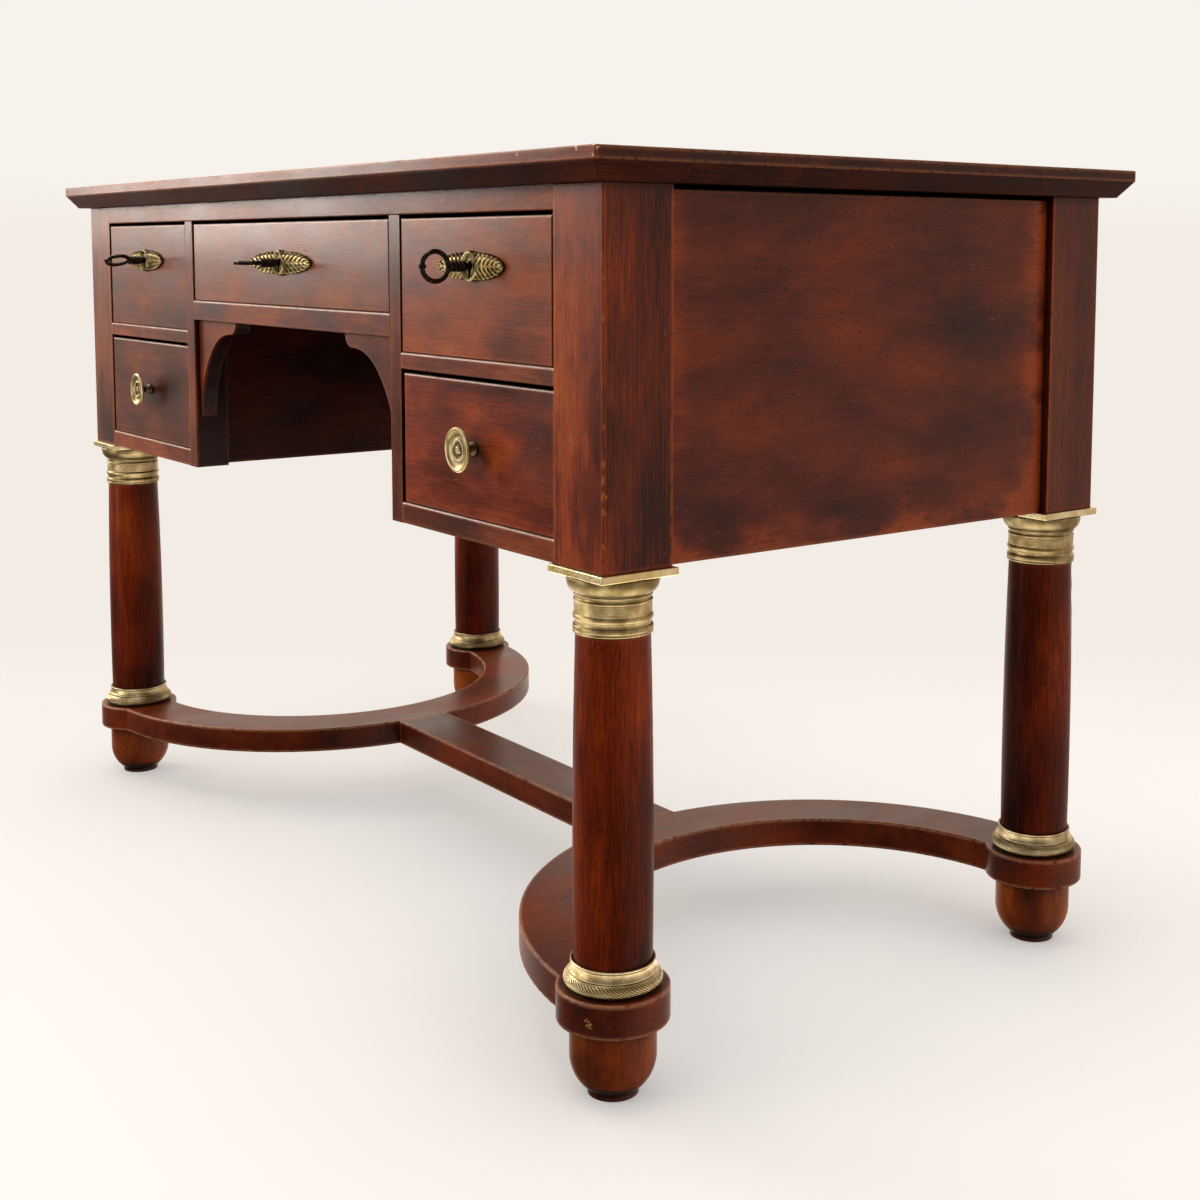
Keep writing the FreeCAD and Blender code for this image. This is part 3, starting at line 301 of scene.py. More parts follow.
def brass_piece(name, points, faces, depths, material, body, node):
    """A smooth brass mesh that rides on a body and stands for a node. Its points know their depth of cut."""
    mesh = bpy.data.meshes.new(name)
    mesh.from_pydata(points, [], faces)
    mesh.attributes.new("cut", "FLOAT", "POINT").data.foreach_set("value", depths)
    shape = bmesh.new()
    shape.from_mesh(mesh)
    bmesh.ops.remove_doubles(shape, verts=shape.verts, dist=0.002 * MM)
    shape.to_mesh(mesh)
    shape.free()
    mesh.polygons.foreach_set("use_smooth", [True] * len(mesh.polygons))
    mesh.materials.append(material)
    made = bpy.data.objects.new(name, mesh)
    bpy.context.collection.objects.link(made)
    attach(made, body)
    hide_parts(node)


def aged_brass(name, body, bright, dark="#3a2c12", polish=0.25, cut_depth=0.25):
    """Old lacquered brass, cast, spun or stamped and then turned or chased.

    The eye sees a warm olive yellow that is brown in every groove, and paler at its edges, partly where hands
    and cloths reach and partly as a painted highlight.
    polish is its roughness where it shines most, and a cut of cut_depth millimetres is as dark as cuts get.
    """
    material, tree, surface = blank(name)
    place = add(tree, "TexCoord", {}, "Object")
    cloud = add(tree, "TexNoise", {"Vector": place, "Scale": 1 / (14 * MM), "Detail": 4})
    grain = add(tree, "TexNoise", {"Vector": place, "Scale": 1 / (0.9 * MM), "Detail": 3})
    cut = add(tree, "Attribute", {}, "Fac", attribute_name="cut")
    air = add(tree, "AmbientOcclusion", {"Distance": 6 * MM}, "AO", samples=6)
    # Near an edge, the normal that the bevel rounds turns away from the face's own. There the brass is
    # painted
    # paler: partly rubbed bright, partly a painted highlight
    rounding = add(tree, "Bevel", {"Radius": 0.9 * MM}, samples=4)
    facing = add(tree, "NewGeometry", {}, "Normal")
    turn = add(tree, "VectorMath", {0: rounding, 1: facing}, "Value", operation="DOT_PRODUCT")
    # Each layer of colour: what it is read from, where it starts and is full, how much shows, and its colour
    layers = [
        (cloud, 0.35, 0.7, 1.0, bright), (turn, 0.995, 0.9, 0.6, "#f6ebc4"), (grain, 0.55, 0.8, 0.3, dark),
        (air, 0.92, 0.4, 0.9, dark), (cut, 0.0, cut_depth, 0.75, dark),
    ]
    colour = linear(body)
    for source, start, full, most, tint in layers:
        inputs = {"Value": source, "From Min": start, "From Max": full, "To Max": most}
        share = add(tree, "MapRange", inputs, interpolation_type="SMOOTHSTEP")
        colour = add(tree, "Mix", {0: share, 6: colour, 7: linear(tint)}, 2, data_type="RGBA")
    inputs = {"Value": grain, "From Min": 0.3, "From Max": 0.75, "To Min": polish, "To Max": polish + 0.22}
    rough = add(tree, "MapRange", inputs, interpolation_type="SMOOTHSTEP")
    bump = add(tree, "Bump", {"Height": grain, "Strength": 0.2, "Distance": 0.1 * MM})
    for socket, value in {"Base Color": colour, "Roughness": rough, "Normal": bump}.items():
        tree.links.new(value, surface.inputs[socket])
    surface.inputs["Metallic"].default_value = 1.0
    return material


RING_FOOT = 0.093
# The ring's own sizes, and the radii and heights of its profile, are in millimetres
ROLL_LOW, ROLL_TOP = 0.9, 12.0
ROLL_START, ROLL_END, ROLL_SWELL, ROLL_STEPS = 38.4, 36.8, 3.6, 12
STROKES = 76
STROKE_LOW, STROKE_HIGH, STROKE_FADE = 1.4, 11.7, 1.5
STROKE_DEPTH, STROKE_SLANT = 0.6, 5.5
POINTS_PER_STROKE = 6
ring_profile = [(33.3, 0.0), (37.6, 0.0), (38.5, 0.1), (38.5, ROLL_LOW)]
for step in range(1, ROLL_STEPS + 1):
    share = step / ROLL_STEPS
    swell = 4 * share * (1 - share) * ROLL_SWELL
    radius = ROLL_START + (ROLL_END - ROLL_START) * share + swell
    ring_profile.append((radius, ROLL_LOW + (ROLL_TOP - ROLL_LOW) * share))
ring_profile += [
    (36.1, 12.3), (36.0, 12.7), (36.9, 12.9), (37.0, 13.3), (35.9, 14.8), (35.1, 16.6), (34.7, 18.6),
    (34.6, 20.0), (34.1, 20.2), (34.2, 20.7), (35.3, 20.8), (35.6, 21.5), (35.3, 22.4), (34.2, 22.5),
    (33.3, 22.5),
]


def stroke(angle, height):
    """How deep the slanting strokes of the roll are cut here, in millimetres."""
    if not STROKE_LOW < height < STROKE_HIGH:
        return 0.0
    phase = STROKES * angle / (2 * math.pi) + STROKE_SLANT * height / ROLL_TOP
    fade = min(1.0, (height - STROKE_LOW) / STROKE_FADE, (STROKE_HIGH - height) / STROKE_FADE)
    return STROKE_DEPTH * fade * abs(math.sin(math.pi * phase)) ** 3


ring_brass = aged_brass("turned_brass_base_rings", "#a8966a", "#d9cba2", polish=0.32, cut_depth=0.45)
for leg, (x, y) in LEG_PLACES.items():
    ring = turned(eased(ring_profile, True, 2), True, POINTS_PER_STROKE * STROKES, (x, y, RING_FOOT), stroke)
    brass_piece(f"base_ring_{leg}", *ring, ring_brass, "frame", "base_rings")

# Capitals
# Spun brass sleeves with turned mouldings, slipped over the shafts: two rolls, a band finely lined on the
# lathe, a bead and a fillet, and a cushion that spreads under the square plate.

CAPITAL_FOOT = 0.387
# Its own height and radius are in millimetres, and places on it are shares of the height
CAPITAL_HIGH = 46.5
CAPITAL_NECK = 31.8
BAND_LOW, BAND_HIGH, BAND_GROOVES, GROOVE_DEPTH, BAND_SET_BACK = 0.36, 0.535, 7, 0.16, 0.1
band = []
for groove in range(BAND_GROOVES):
    for share, depth in ((0.15, 0.0), (0.5, GROOVE_DEPTH), (0.85, 0.0)):
        place = BAND_LOW + (BAND_HIGH - BAND_LOW) * (groove + share) / BAND_GROOVES
        band.append((place, -BAND_SET_BACK - depth))
# Shares of the height, and how far the moulding stands out from the neck there, in millimetres
CAPITAL_RELIEF = [
    (0.0, -1.6), (0.0, 0.5), (0.015, 0.95), (0.04, 0.8), (0.05, 0.35), (0.06, 0.75), (0.1, 1.05),
    (0.135, 0.8), (0.146, 0.2), (0.152, -0.7), (0.17, -0.8), (0.215, -0.75), (0.23, -0.3), (0.25, 0.55),
    (0.286, 1.0), (0.322, 0.6), (0.338, 0.0), (0.345, -0.35), (0.355, -0.15), *band, (0.54, -0.15),
    (0.55, -0.4), (0.558, 0.1), (0.575, 0.6), (0.592, 0.1), (0.6, -0.8), (0.63, -0.95), (0.655, -0.8),
    (0.662, 0.2), (0.676, 0.6), (0.692, 0.2), (0.7, -0.2), (0.71, 0.6), (0.735, 2.4), (0.775, 4.1),
    (0.83, 5.4), (0.89, 6.05), (0.95, 6.2), (1.0, 6.2), (1.0, -3.4), (0.0, -3.4),
]
TICKS = 150
TICK_LOW, TICK_HIGH, TICK_DEPTH = 0.062, 0.135, 0.12
POINTS_PER_TICK = 4
CUSHION_FOOT = CAPITAL_FOOT + 0.705 * CAPITAL_HIGH * MM
CUSHION_DARK_REFLECTION = 0.07


def tick(angle, height):
    """How deep the upright ticks of the lowest roll are cut here, in millimetres."""
    if not TICK_LOW < height / CAPITAL_HIGH < TICK_HIGH:
        return 0.0
    return TICK_DEPTH * abs(math.sin(TICKS * angle / 2)) ** 4


capital_profile = [(CAPITAL_NECK + out, share * CAPITAL_HIGH) for share, out in CAPITAL_RELIEF]
capital_profile = eased(capital_profile, True, 1)
capital_brass = aged_brass("spun_brass_capitals", "#907d50", "#c6b586", polish=0.33, cut_depth=0.16)
for leg, (x, y) in LEG_PLACES.items():
    points, faces, depths = turned(capital_profile, True, POINTS_PER_TICK * TICKS, (x, y, CAPITAL_FOOT), tick)
    # The cushion is painted brown, a painted dark reflection of the wood and the shadowed floor below it
    depths = [CUSHION_DARK_REFLECTION if z > CUSHION_FOOT else depth for (_, _, z), depth in zip(points, depths)]
    brass_piece(f"capital_{leg}", points, faces, depths, capital_brass, "frame", "capitals")

# Square plates over the capitals
# A flat plate of cast brass between each capital and its post, held by the column's tenon, which passes
# through it. Its rounded edge is painted bright, partly from cleaning and partly as a painted highlight.

dressed(aged_brass("bright_brass_plates", "#d6c288", "#f3e8c0", polish=0.24), "abacus_plates")

# Posts
# Solid square mahogany with upright grain, grooved for the panels and mortised for the rails. The front faces
# are rubbed, the sides behind them and the lower ends are darker, and knocks have bared the corner that
# stands nearest to the room.

POST_TONES = {
    "front_left": ("#250d07", "#4e2014", "#70341a", "#96532a"),
    "front_right": ("#2e0c04", "#6a240c", "#933b12", "#b85c22"),
    "back_left": ("#250d07", "#4e2014", "#70341a", "#96532a"),
    "back_right": ("#2a0f0a", "#5e2718", "#7c3b21", "#9c5530"),
}
POST_RUBS = [("Y", -0.286, -0.255, -0.1), ("Y", -0.281, -0.293, 0.14), ("Z", 0.56, 0.46, -0.1)]
# The heights and widths of the knocks
KNOCKED = [(0.688, 0.0035), (0.671, 0.003), (0.64, 0.004), (0.583, 0.003), (0.556, 0.004), (0.528, 0.005),
           (0.515, 0.006), (0.503, 0.0055), (0.49, 0.005), (0.463, 0.0035)]
low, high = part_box("post_front_right")
POST_CHIPS = {"front_right": [((high[0], low[1], z), width, "#b05c26") for z, width in KNOCKED]}
for leg, tones in POST_TONES.items():
    front = leg.startswith("front")
    post_wood = old_wood(f"polished_mahogany_post_{leg}", "Z", tones, streaks=0.5 if front else 0.3,
                         patches=0.6 if front else 0.4, bloom=0.12, wear=0.8, rubbed="#b4531c",
                         rubs=POST_RUBS if front else (), chips=POST_CHIPS.get(leg, ()))
    dressed(post_wood, f"post_{leg}")

# Rails, dividers and brackets
# Mahogany boards tenoned between the posts: rails that lie, dividers that stand beside the kneehole, and sawn
# brackets glued into its upper corners. Hands have rubbed the rails' upper edges pale, and a highlight is
# painted on them. Painted shade darkens the uprights' sides behind their front faces, and their deep places.

BROWNED = ("#2f110a", "#64291a", "#873f20", "#ac6234")
RAIL_FILMS = {"top_rail": 0.32, "centre_rail": 0.38, "mid_rails": 0.38, "bottom_rails": 0.38}
# Where the pale strip, rubbed and partly a painted highlight, starts and where it is full, in millimetres
# under the upper edge
ARRIS_START, ARRIS_FULL = 2.4, 1.0
# Painted shade on the uprights' sides: where it starts and where it is full, in millimetres behind the front
# face, and how much it darkens them
SHADE_START, SHADE_FULL, SHADE = 1.5, 6.0, -0.6


def upper_arris(node):
    """The strip along a piece's upper front edge, rubbed pale by hands and painted paler as a highlight."""
    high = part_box(node)[1][2]
    return [("Z", high - ARRIS_START * MM, high - ARRIS_FULL * MM)]


for rail, film in RAIL_FILMS.items():
    dressed(old_wood(f"polished_mahogany_{rail}", "X", BROWNED, arris=upper_arris(rail), film=film), rail)
UPRIGHTS = {"dividers": ("Z", ["divider_left", "divider_right"]), "brackets": ("X", ["knee_brackets"])}
for name, (along, nodes) in UPRIGHTS.items():
    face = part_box(nodes[0])[0][1]
    shade = [("Y", face + SHADE_START * MM, face + SHADE_FULL * MM, SHADE)]
    dressed(old_wood(f"polished_mahogany_{name}", along, BROWNED, wear=0.15, rubs=shade, deep_shade=0.9), *nodes)

# Panels
# Wide mahogany boards whose tongues lie loose in the posts' grooves: the ends, the back and the sides of the
# kneehole. The ends are polished, and rubbed orange beside the posts. The others are painted in near-black
# tones that stand for the shade they lie in, and the kneehole's sides darken further with painted shade.

END_TONES = ("#2a0f0a", "#592014", "#773019", "#9c451c")
END_RUBS = [("Y", 0.185, 0.225, 0.34), ("Z", 0.48, 0.445, 0.3), ("Y", -0.2, -0.225, 0.15)]
end_wood = old_wood("mahogany_end_panels", "Y", END_TONES, bands=0.15, streaks=0.2, patches=0.75, clouds=0.15,
                    bloom=0.15, rubs=END_RUBS)
dressed(end_wood, "end_panel_left", "end_panel_right")
IN_SHADE_TONES = ("#140401", "#330e05", "#501909", "#6a270f")
knee_wood = old_wood("dark_mahogany_kneehole", "Y", IN_SHADE_TONES, deep_shade=0.6, film=0.15)
dressed(knee_wood, "knee_panel_left", "knee_panel_right")
dressed(old_wood("dark_mahogany_back", "X", IN_SHADE_TONES, film=0.15), "back_panel")

# Inside of the case, and the drawer boxes
# Oak, sawn and planed but never polished: floors, runners, kickers and stops that are glued and pinned in
# the case, and boxes that are dovetailed into the drawer fronts.

OAK_TONES = ("#4a2f18", "#7a5530", "#94693e", "#a67c4c")
oak = old_wood("raw_oak", "Y", OAK_TONES, patches=0.4, bloom=0.0, film=0.0, dull=0.7)
dressed(oak, "pedestal_floors", "drawer_runners", "drawer_kickers", "drawer_stops")
dressed(oak, *[node for node in frame["nodes"] if node.startswith("drawer_box_")])

# Drawer fronts
# Mahogany boards with the grain lying along the desk, half-blind dovetailed to the boxes. Sun and hands have
# given each its own tone, and the upper edges are rubbed pale and carry a painted highlight.

DRAWER_TONES = {
    "upper_left": ("#2f110a", "#632a18", "#86401f", "#ac6234"),
    "lower_left": ("#290f08", "#582415", "#7c391b", "#a25a2c"),
    "centre": ("#34130b", "#6c301a", "#8f4822", "#b66c38"),
    "upper_right": ("#3a140a", "#7f3615", "#a34d1e", "#c47338"),
    "lower_right": ("#2e0c04", "#6a2209", "#92380f", "#b65b20"),
}
DRAWER_FILMS = {"upper_left": 0.38, "lower_left": 0.38, "centre": 0.52, "upper_right": 0.5,
                "lower_right": 0.38}
for bay, tones in DRAWER_TONES.items():
    node = f"drawer_front_{bay}"
    front_wood = old_wood(f"polished_mahogany_drawer_{bay}", "X", tones, arris=upper_arris(node),
                          film=DRAWER_FILMS[bay])
    dressed(front_wood, node)

# Locks
# Forged iron cases let into the backs of the drawer fronts, each with an iron bolt that the key throws up
# into the top rail. They show only when a drawer is open.

PLACES = ("left", "centre", "right")


def black_iron(name):
    """Forged iron, blackened by oil and hands: near black, with greyer worn high places and a soft shine."""
    material, tree, surface = blank(name)
    place = add(tree, "TexCoord", {}, "Object")
    grain = add(tree, "TexNoise", {"Vector": place, "Scale": 1 / (2.5 * MM), "Detail": 4})
    inputs = {"Value": grain, "From Min": 0.45, "From Max": 0.8, "To Max": 0.7}
    share = add(tree, "MapRange", inputs, interpolation_type="SMOOTHSTEP")
    colour = add(tree, "Mix", {0: share, 6: linear("#332b26"), 7: linear("#857767")}, 2, data_type="RGBA")
    inputs = {"Value": grain, "From Min": 0.3, "From Max": 0.7, "To Min": 0.24, "To Max": 0.42}
    rough = add(tree, "MapRange", inputs)
    bump = add(tree, "Bump", {"Height": grain, "Strength": 0.25, "Distance": 0.4 * MM})
    for socket, value in {"Base Color": colour, "Roughness": rough, "Normal": bump}.items():
        tree.links.new(value, surface.inputs[socket])
    surface.inputs["Metallic"].default_value = 0.85
    return material


iron = black_iron("blackened_iron")
dressed(iron, *[f"lock_case_{place}" for place in PLACES], *[f"lock_bolt_{place}" for place in PLACES])

# Escutcheons
# Stamped brass leaves, pinned over the keyholes: a midrib, slanting fronds that end in round beads along a
# scalloped edge, and a raised double ring round the keyhole with a small rim that curls at its lower end.

DRAWER_FACE = -0.295
KEYHOLE_Z = 0.678
LOCK_X = {"left": -0.382, "centre": 0.0, "right": 0.382}
LOCK_BODIES = {"left": "drawer_upper_left", "centre": "drawer_centre", "right": "drawer_upper_right"}
# From here on, the sizes of the leaves and their collar are in millimetres, or shares of the leaf
LEAF_REACH = {"left": 53.0, "centre": 72.0, "right": 53.0}
LEAF_HALF_HEIGHT, LEAF_START = 11.2, 9.5
LEAF_ROWS_PER_MM, LEAF_COLUMNS, LEAF_TIP = 2.4, 45, 0.995
FRONDS, FROND_LEAN, FROND_BOW, FROND_CREST = 6.5, 1.5, 1.4, 0.7
TAPER, BLUNTNESS = 2.2, 0.55
SCALLOP_LOW, SCALLOP_RISE = 0.8, 0.25
RIB_WIDE, BEAD_OUT, BEAD_WIDE = 0.07, 0.9, 0.09
LEAF_THICK, LEAF_SWELL, FROND_HIGH, RIB_HIGH, BEAD_HIGH = 1.0, 1.6, 1.7, 1.4, 1.3
BEAD_CLEAN = 0.6


def leaf_point(reach, along, across, flip):
    """One point of a leaf: its place along and across the plate, its height, and how deep in a groove."""
    ridge = abs(math.sin(math.pi * (FRONDS * along - FROND_LEAN * abs(across) ** FROND_BOW))) ** FROND_CREST
    scallop = abs(math.sin(math.pi * (FRONDS * along - FROND_LEAN)))
    half = LEAF_HALF_HEIGHT * (1 - along ** TAPER) ** BLUNTNESS * (SCALLOP_LOW + SCALLOP_RISE * scallop)
    rib = math.exp(-(across / RIB_WIDE) ** 2)
    bead = math.exp(-((abs(across) - BEAD_OUT) / BEAD_WIDE) ** 2) * scallop ** 2
    body = LEAF_THICK + LEAF_SWELL * (1 - across ** 2) * (1 - along / 2)
    height = body + FROND_HIGH * ridge * (1 - rib) + RIB_HIGH * rib + BEAD_HIGH * bead
    cut = (1 - ridge) * (1 - rib) * (1 - BEAD_CLEAN * bead)
    return flip * (LEAF_START + (reach - LEAF_START) * along), half * across, height, cut


def grid_faces(first, rows, columns):
    """Faces of a grid of points, and of the flat underside that follows it."""
    faces = []
    under = rows * columns
    for row in range(rows - 1):
        for column in range(columns - 1):
            a = first + row * columns + column
            quad = (a, a + 1, a + columns + 1, a + columns)
            faces += [quad, tuple(point + under for point in reversed(quad))]
    rim = [row * columns for row in range(rows)]
    rim += [(rows - 1) * columns + column for column in range(1, columns)]
    rim += [row * columns + columns - 1 for row in range(rows - 2, -1, -1)]
    rim += range(columns - 2, 0, -1)
    for a, b in zip(rim, rim[1:] + rim[:1]):
        faces.append((first + a, first + b, first + b + under, first + a + under))
    return faces


RING_OUTER, RING_INNER = 13.4, 10.0
KEYHOLE_RADIUS, SLOT_HALF, SLOT_DROP = 4.2, 2.2, 10.6
# The keyhole's outline is drawn from a point that sees all of it, this high from the middle of its round part
KEYHOLE_EYE = -2.5
OUTLINE_STEP = 0.05
COLLAR_TURNS, COLLAR_STEPS = 120, 34
COLLAR_THICK, ROLL_HIGH, NOTCH_DEEP, RIM_HIGH = 2.0, 2.6, 1.0, 1.2
NOTCH_PLACE, NOTCH_WIDE = 0.3, 0.09
RIM_OUT, RIM_WIDE = 0.9, 0.55
CURL_LEAST, CURL_MIDDLE, CURL_FADE = 0.25, 0.9, 6.0
# How dark the old polish lies in the notch, on the flat of the collar and on its sides
NOTCH_DARK, FLAT_DARK, SIDE_DARK = 0.8, 0.5, 0.5


def keyhole_reach(angle):
    """How far the keyhole reaches from its eye in this direction, in millimetres."""
    reach = 0.0
    while True:
        u, v = reach * math.cos(angle), KEYHOLE_EYE + reach * math.sin(angle)
        inside = math.hypot(u, v) < KEYHOLE_RADIUS or (abs(u) < SLOT_HALF and SLOT_HALF - SLOT_DROP < v < 0)
        if not inside and math.hypot(u, v - SLOT_HALF + SLOT_DROP) >= SLOT_HALF:
            return reach
        reach += OUTLINE_STEP


def collar(first):
    """The ring round the keyhole, from the hole's wall to the outer rim: points and faces."""
    points, faces = [], []
    for turn in range(COLLAR_TURNS):
        angle = 2 * math.pi * turn / COLLAR_TURNS
        hole = keyhole_reach(angle)
        dip = KEYHOLE_EYE * math.sin(angle)
        outer = math.sqrt(RING_OUTER ** 2 - KEYHOLE_EYE ** 2 + dip ** 2) - dip
        for step in range(COLLAR_STEPS):
            reach = hole + (outer - hole) * step / (COLLAR_STEPS - 1)
            u, v = reach * math.cos(angle), KEYHOLE_EYE + reach * math.sin(angle)
            out = (math.hypot(u, v) - RING_INNER) / (RING_OUTER - RING_INNER)
            roll = max(0.0, 1 - (2 * out - 1) ** 2) ** 0.5 if 0 < out < 1 else 0.0
            notch = math.exp(-((out - NOTCH_PLACE) / NOTCH_WIDE) ** 2)
            curl = min(1.0, max(CURL_LEAST, CURL_MIDDLE - v / CURL_FADE))
            rim = math.exp(-((reach - hole - RIM_OUT) / RIM_WIDE) ** 2) * curl
            height = COLLAR_THICK + ROLL_HIGH * roll - NOTCH_DEEP * notch * roll + RIM_HIGH * rim
            points.append((u, v, height, NOTCH_DARK * notch + FLAT_DARK * (1 - roll) * (1 - rim)))
        for u, v in ((u, v), (hole * math.cos(angle), KEYHOLE_EYE + hole * math.sin(angle))):
            points.append((u, v, 0.0, SIDE_DARK))
    loop = COLLAR_STEPS + 2
    for turn in range(COLLAR_TURNS):
        here, there = first + turn * loop, first + (turn + 1) % COLLAR_TURNS * loop
        for row in range(loop):
            after = (row + 1) % loop
            faces.append((here + row, there + row, there + after, here + after))
    return points, faces


def stamped_leaf(reach):
    """Both leaves of a plate and its collar, lying flat in millimetres."""
    points, faces = [], []
    rows = int(reach * LEAF_ROWS_PER_MM)
    spread = [math.sin(math.pi / 2 * row / (rows - 1)) * LEAF_TIP for row in range(rows)]
    width = [2 * column / (LEAF_COLUMNS - 1) - 1 for column in range(LEAF_COLUMNS)]
    for flip in (-1, 1):
        first = len(points)
        upper = [leaf_point(reach, along, across, flip) for along in spread for across in width]
        points += upper + [(u, v, 0.0, 1.0) for u, v, height, cut in upper]
        found = grid_faces(first, rows, LEAF_COLUMNS)
        faces += found if flip < 0 else [tuple(reversed(face)) for face in found]
    ring_points, ring_faces = collar(len(points))
    return points + ring_points, faces + ring_faces


leaf_brass = aged_brass("stamped_brass_leaves", "#86723f", "#bda970", dark="#150e06", cut_depth=0.7)
for place in PLACES:
    flat, faces = stamped_leaf(LEAF_REACH[place])
    x = LOCK_X[place]
    points = [(x + u * MM, DRAWER_FACE - high * MM, KEYHOLE_Z + v * MM) for u, v, high, cut in flat]
    depths = [cut for u, v, high, cut in flat]
    brass_piece(f"leaf_escutcheon_{place}", points, faces, depths, leaf_brass, LOCK_BODIES[place],
                f"escutcheon_{place}")

# Keys
# Forged iron pipe keys with a round bow, blackened by two centuries of hands. Each sits on the drill pin of
# its lock.

dressed(iron, *[f"key_{place}" for place in PLACES])

# Knobs
# Turned brass with a rounded rim, a dished face with a raised ring, and a boss. The stem is screwed through
# the drawer front and held by a nut inside.

KNOB_Z = 0.52125
# Radii, and heights from the drawer's face, in millimetres: the nut and the screw, the stem, then the head
KNOB_PROFILE = [
    (0.0, -24.1), (2.5, -24.1), (2.5, -24.0), (6.0, -24.0), (6.0, -20.0), (2.5, -20.0), (2.5, 0.0),
    (6.2, 0.0), (6.2, 1.3), (5.0, 2.6), (3.9, 3.4), (3.7, 6.0), (3.9, 8.2), (5.4, 8.9), (5.6, 10.2),
    (4.6, 11.0), (8.0, 12.3), (14.0, 13.6), (18.2, 14.5), (19.6, 15.4), (19.8, 16.3), (19.5, 17.3),
    (18.4, 18.0), (17.0, 17.9), (16.0, 17.2), (15.0, 16.2), (13.2, 15.5), (11.3, 15.2), (10.5, 15.4),
    (10.0, 16.2), (9.2, 16.7), (8.4, 16.4), (7.9, 15.5), (7.0, 14.8), (5.2, 14.5), (4.2, 14.7), (3.7, 15.6),
    (3.0, 16.3), (2.0, 16.7), (1.1, 16.6), (0.8, 16.1), (0.0, 16.0),
]
KNOB_TURNS = 96
STEM_TOP = 12.5
# Parts of the face by their inner and outer radius, and how dark the old polish lies there
HOLLOW, HOLLOW_DARK = (3.9, 7.8), 0.9
DISH, DISH_DARK = (10.2, 15.6), 0.4


def plain(angle, height):
    """A knob has no engraving, so nothing is cut here."""
    return 0.0


def patina(radius, height):
    """How dark the knob is: most on the stem, and where old polish lies round the boss, less in the dish."""
    if height <= STEM_TOP or HOLLOW[0] < radius < HOLLOW[1]:
        return HOLLOW_DARK
    return DISH_DARK if DISH[0] < radius < DISH[1] else 0.0


knob_brass = aged_brass("turned_brass_knobs", "#9c8a5c", "#cebe93", "#21170a", polish=0.34, cut_depth=1.0)
knob, faces, _ = turned(eased(KNOB_PROFILE, False, 2), False, KNOB_TURNS, (0, 0, 0), plain)
depths = [patina(math.hypot(u, v) / MM, high / MM) for u, v, high in knob]
for side in ("left", "right"):
    points = [(LOCK_X[side] + u, DRAWER_FACE - high, KNOB_Z + v) for u, v, high in knob]
    body = f"drawer_lower_{side}"
    brass_piece(f"turned_knob_{side}", points, faces, depths, knob_brass, body, f"knob_{side}")

# Top
# A wide mahogany board with its grain along the desk, over a chamfered moulding that is mitred at the corners
# and glued round the case. The end is darker, and knocks have bared the edge near the front corner. The
# moulding's darker tones are painted shade under the top.

TOP_END = [("X", 0.5975, 0.5995, -0.2)]
BARE = "#d9c3b2"
KNOCKS = [((0.5985, -0.3185, 0.768), 0.0035, BARE), ((0.597, -0.32, 0.762), 0.002, BARE),
          ((0.493, -0.32, 0.7675), 0.003, BARE), ((0.575, -0.32, 0.768), 0.002, BARE)]
top_wood = old_wood("polished_mahogany_top", "X", BROWNED, patches=0.4, bloom=0.15, wear=0.5, rubs=TOP_END,
                    chips=KNOCKS, film=0.3)
dressed(top_wood, "top_board")
MOULDING_SHADE_TONES = ("#1a0703", "#37130a", "#521e0c", "#783816")
dressed(old_wood("mahogany_top_moulding", "XY", MOULDING_SHADE_TONES, wear=0.0, film=0.1), "top_moulding")

# Floor and backdrop
# Matt pale paper laid flat on the floor, which far off and behind the desk fades into the backdrop's even
# colour, so that no horizon shows. Its glow is painted light, brighter towards the right, with painted
# shadows under the desk, and it lights nothing else.

FLOOR_RADIUS = 40.0
BACKDROP = "#f7f2ec"
HORIZON = "#f2ece5"
# Two ways along the floor: to the right in the photo, and away from its camera
PHOTO_RIGHT = (0.61, 0.79, 0.0)
PHOTO_AWAY = (-0.79, 0.61, 0.0)
# Painted shadows: how far the floor looks for what stands over it, and how much of its glow that takes away
SHADOW_REACH, SHADOW_SHARE = 0.35, 0.62
bpy.ops.mesh.primitive_circle_add(vertices=96, radius=FLOOR_RADIUS, fill_type="NGON")
floor = bpy.context.object
floor.name = "studio_floor"
paper, tree, surface = blank("pale_paper_with_painted_light")
surface.inputs["Base Color"].default_value = linear("#949390")
surface.inputs["Roughness"].default_value = 0.9
surface.inputs["Specular IOR Level"].default_value = 0.1
surface.inputs["Emission Color"].default_value = linear("#fffcf9")
ground = add(tree, "TexCoord", {}, "Object")
rightward = add(tree, "VectorMath", {0: ground, 1: PHOTO_RIGHT}, "Value", operation="DOT_PRODUCT")
outward = add(tree, "VectorMath", {0: ground}, "Value", operation="LENGTH")
backward = add(tree, "VectorMath", {0: ground, 1: PHOTO_AWAY}, "Value", operation="DOT_PRODUCT")
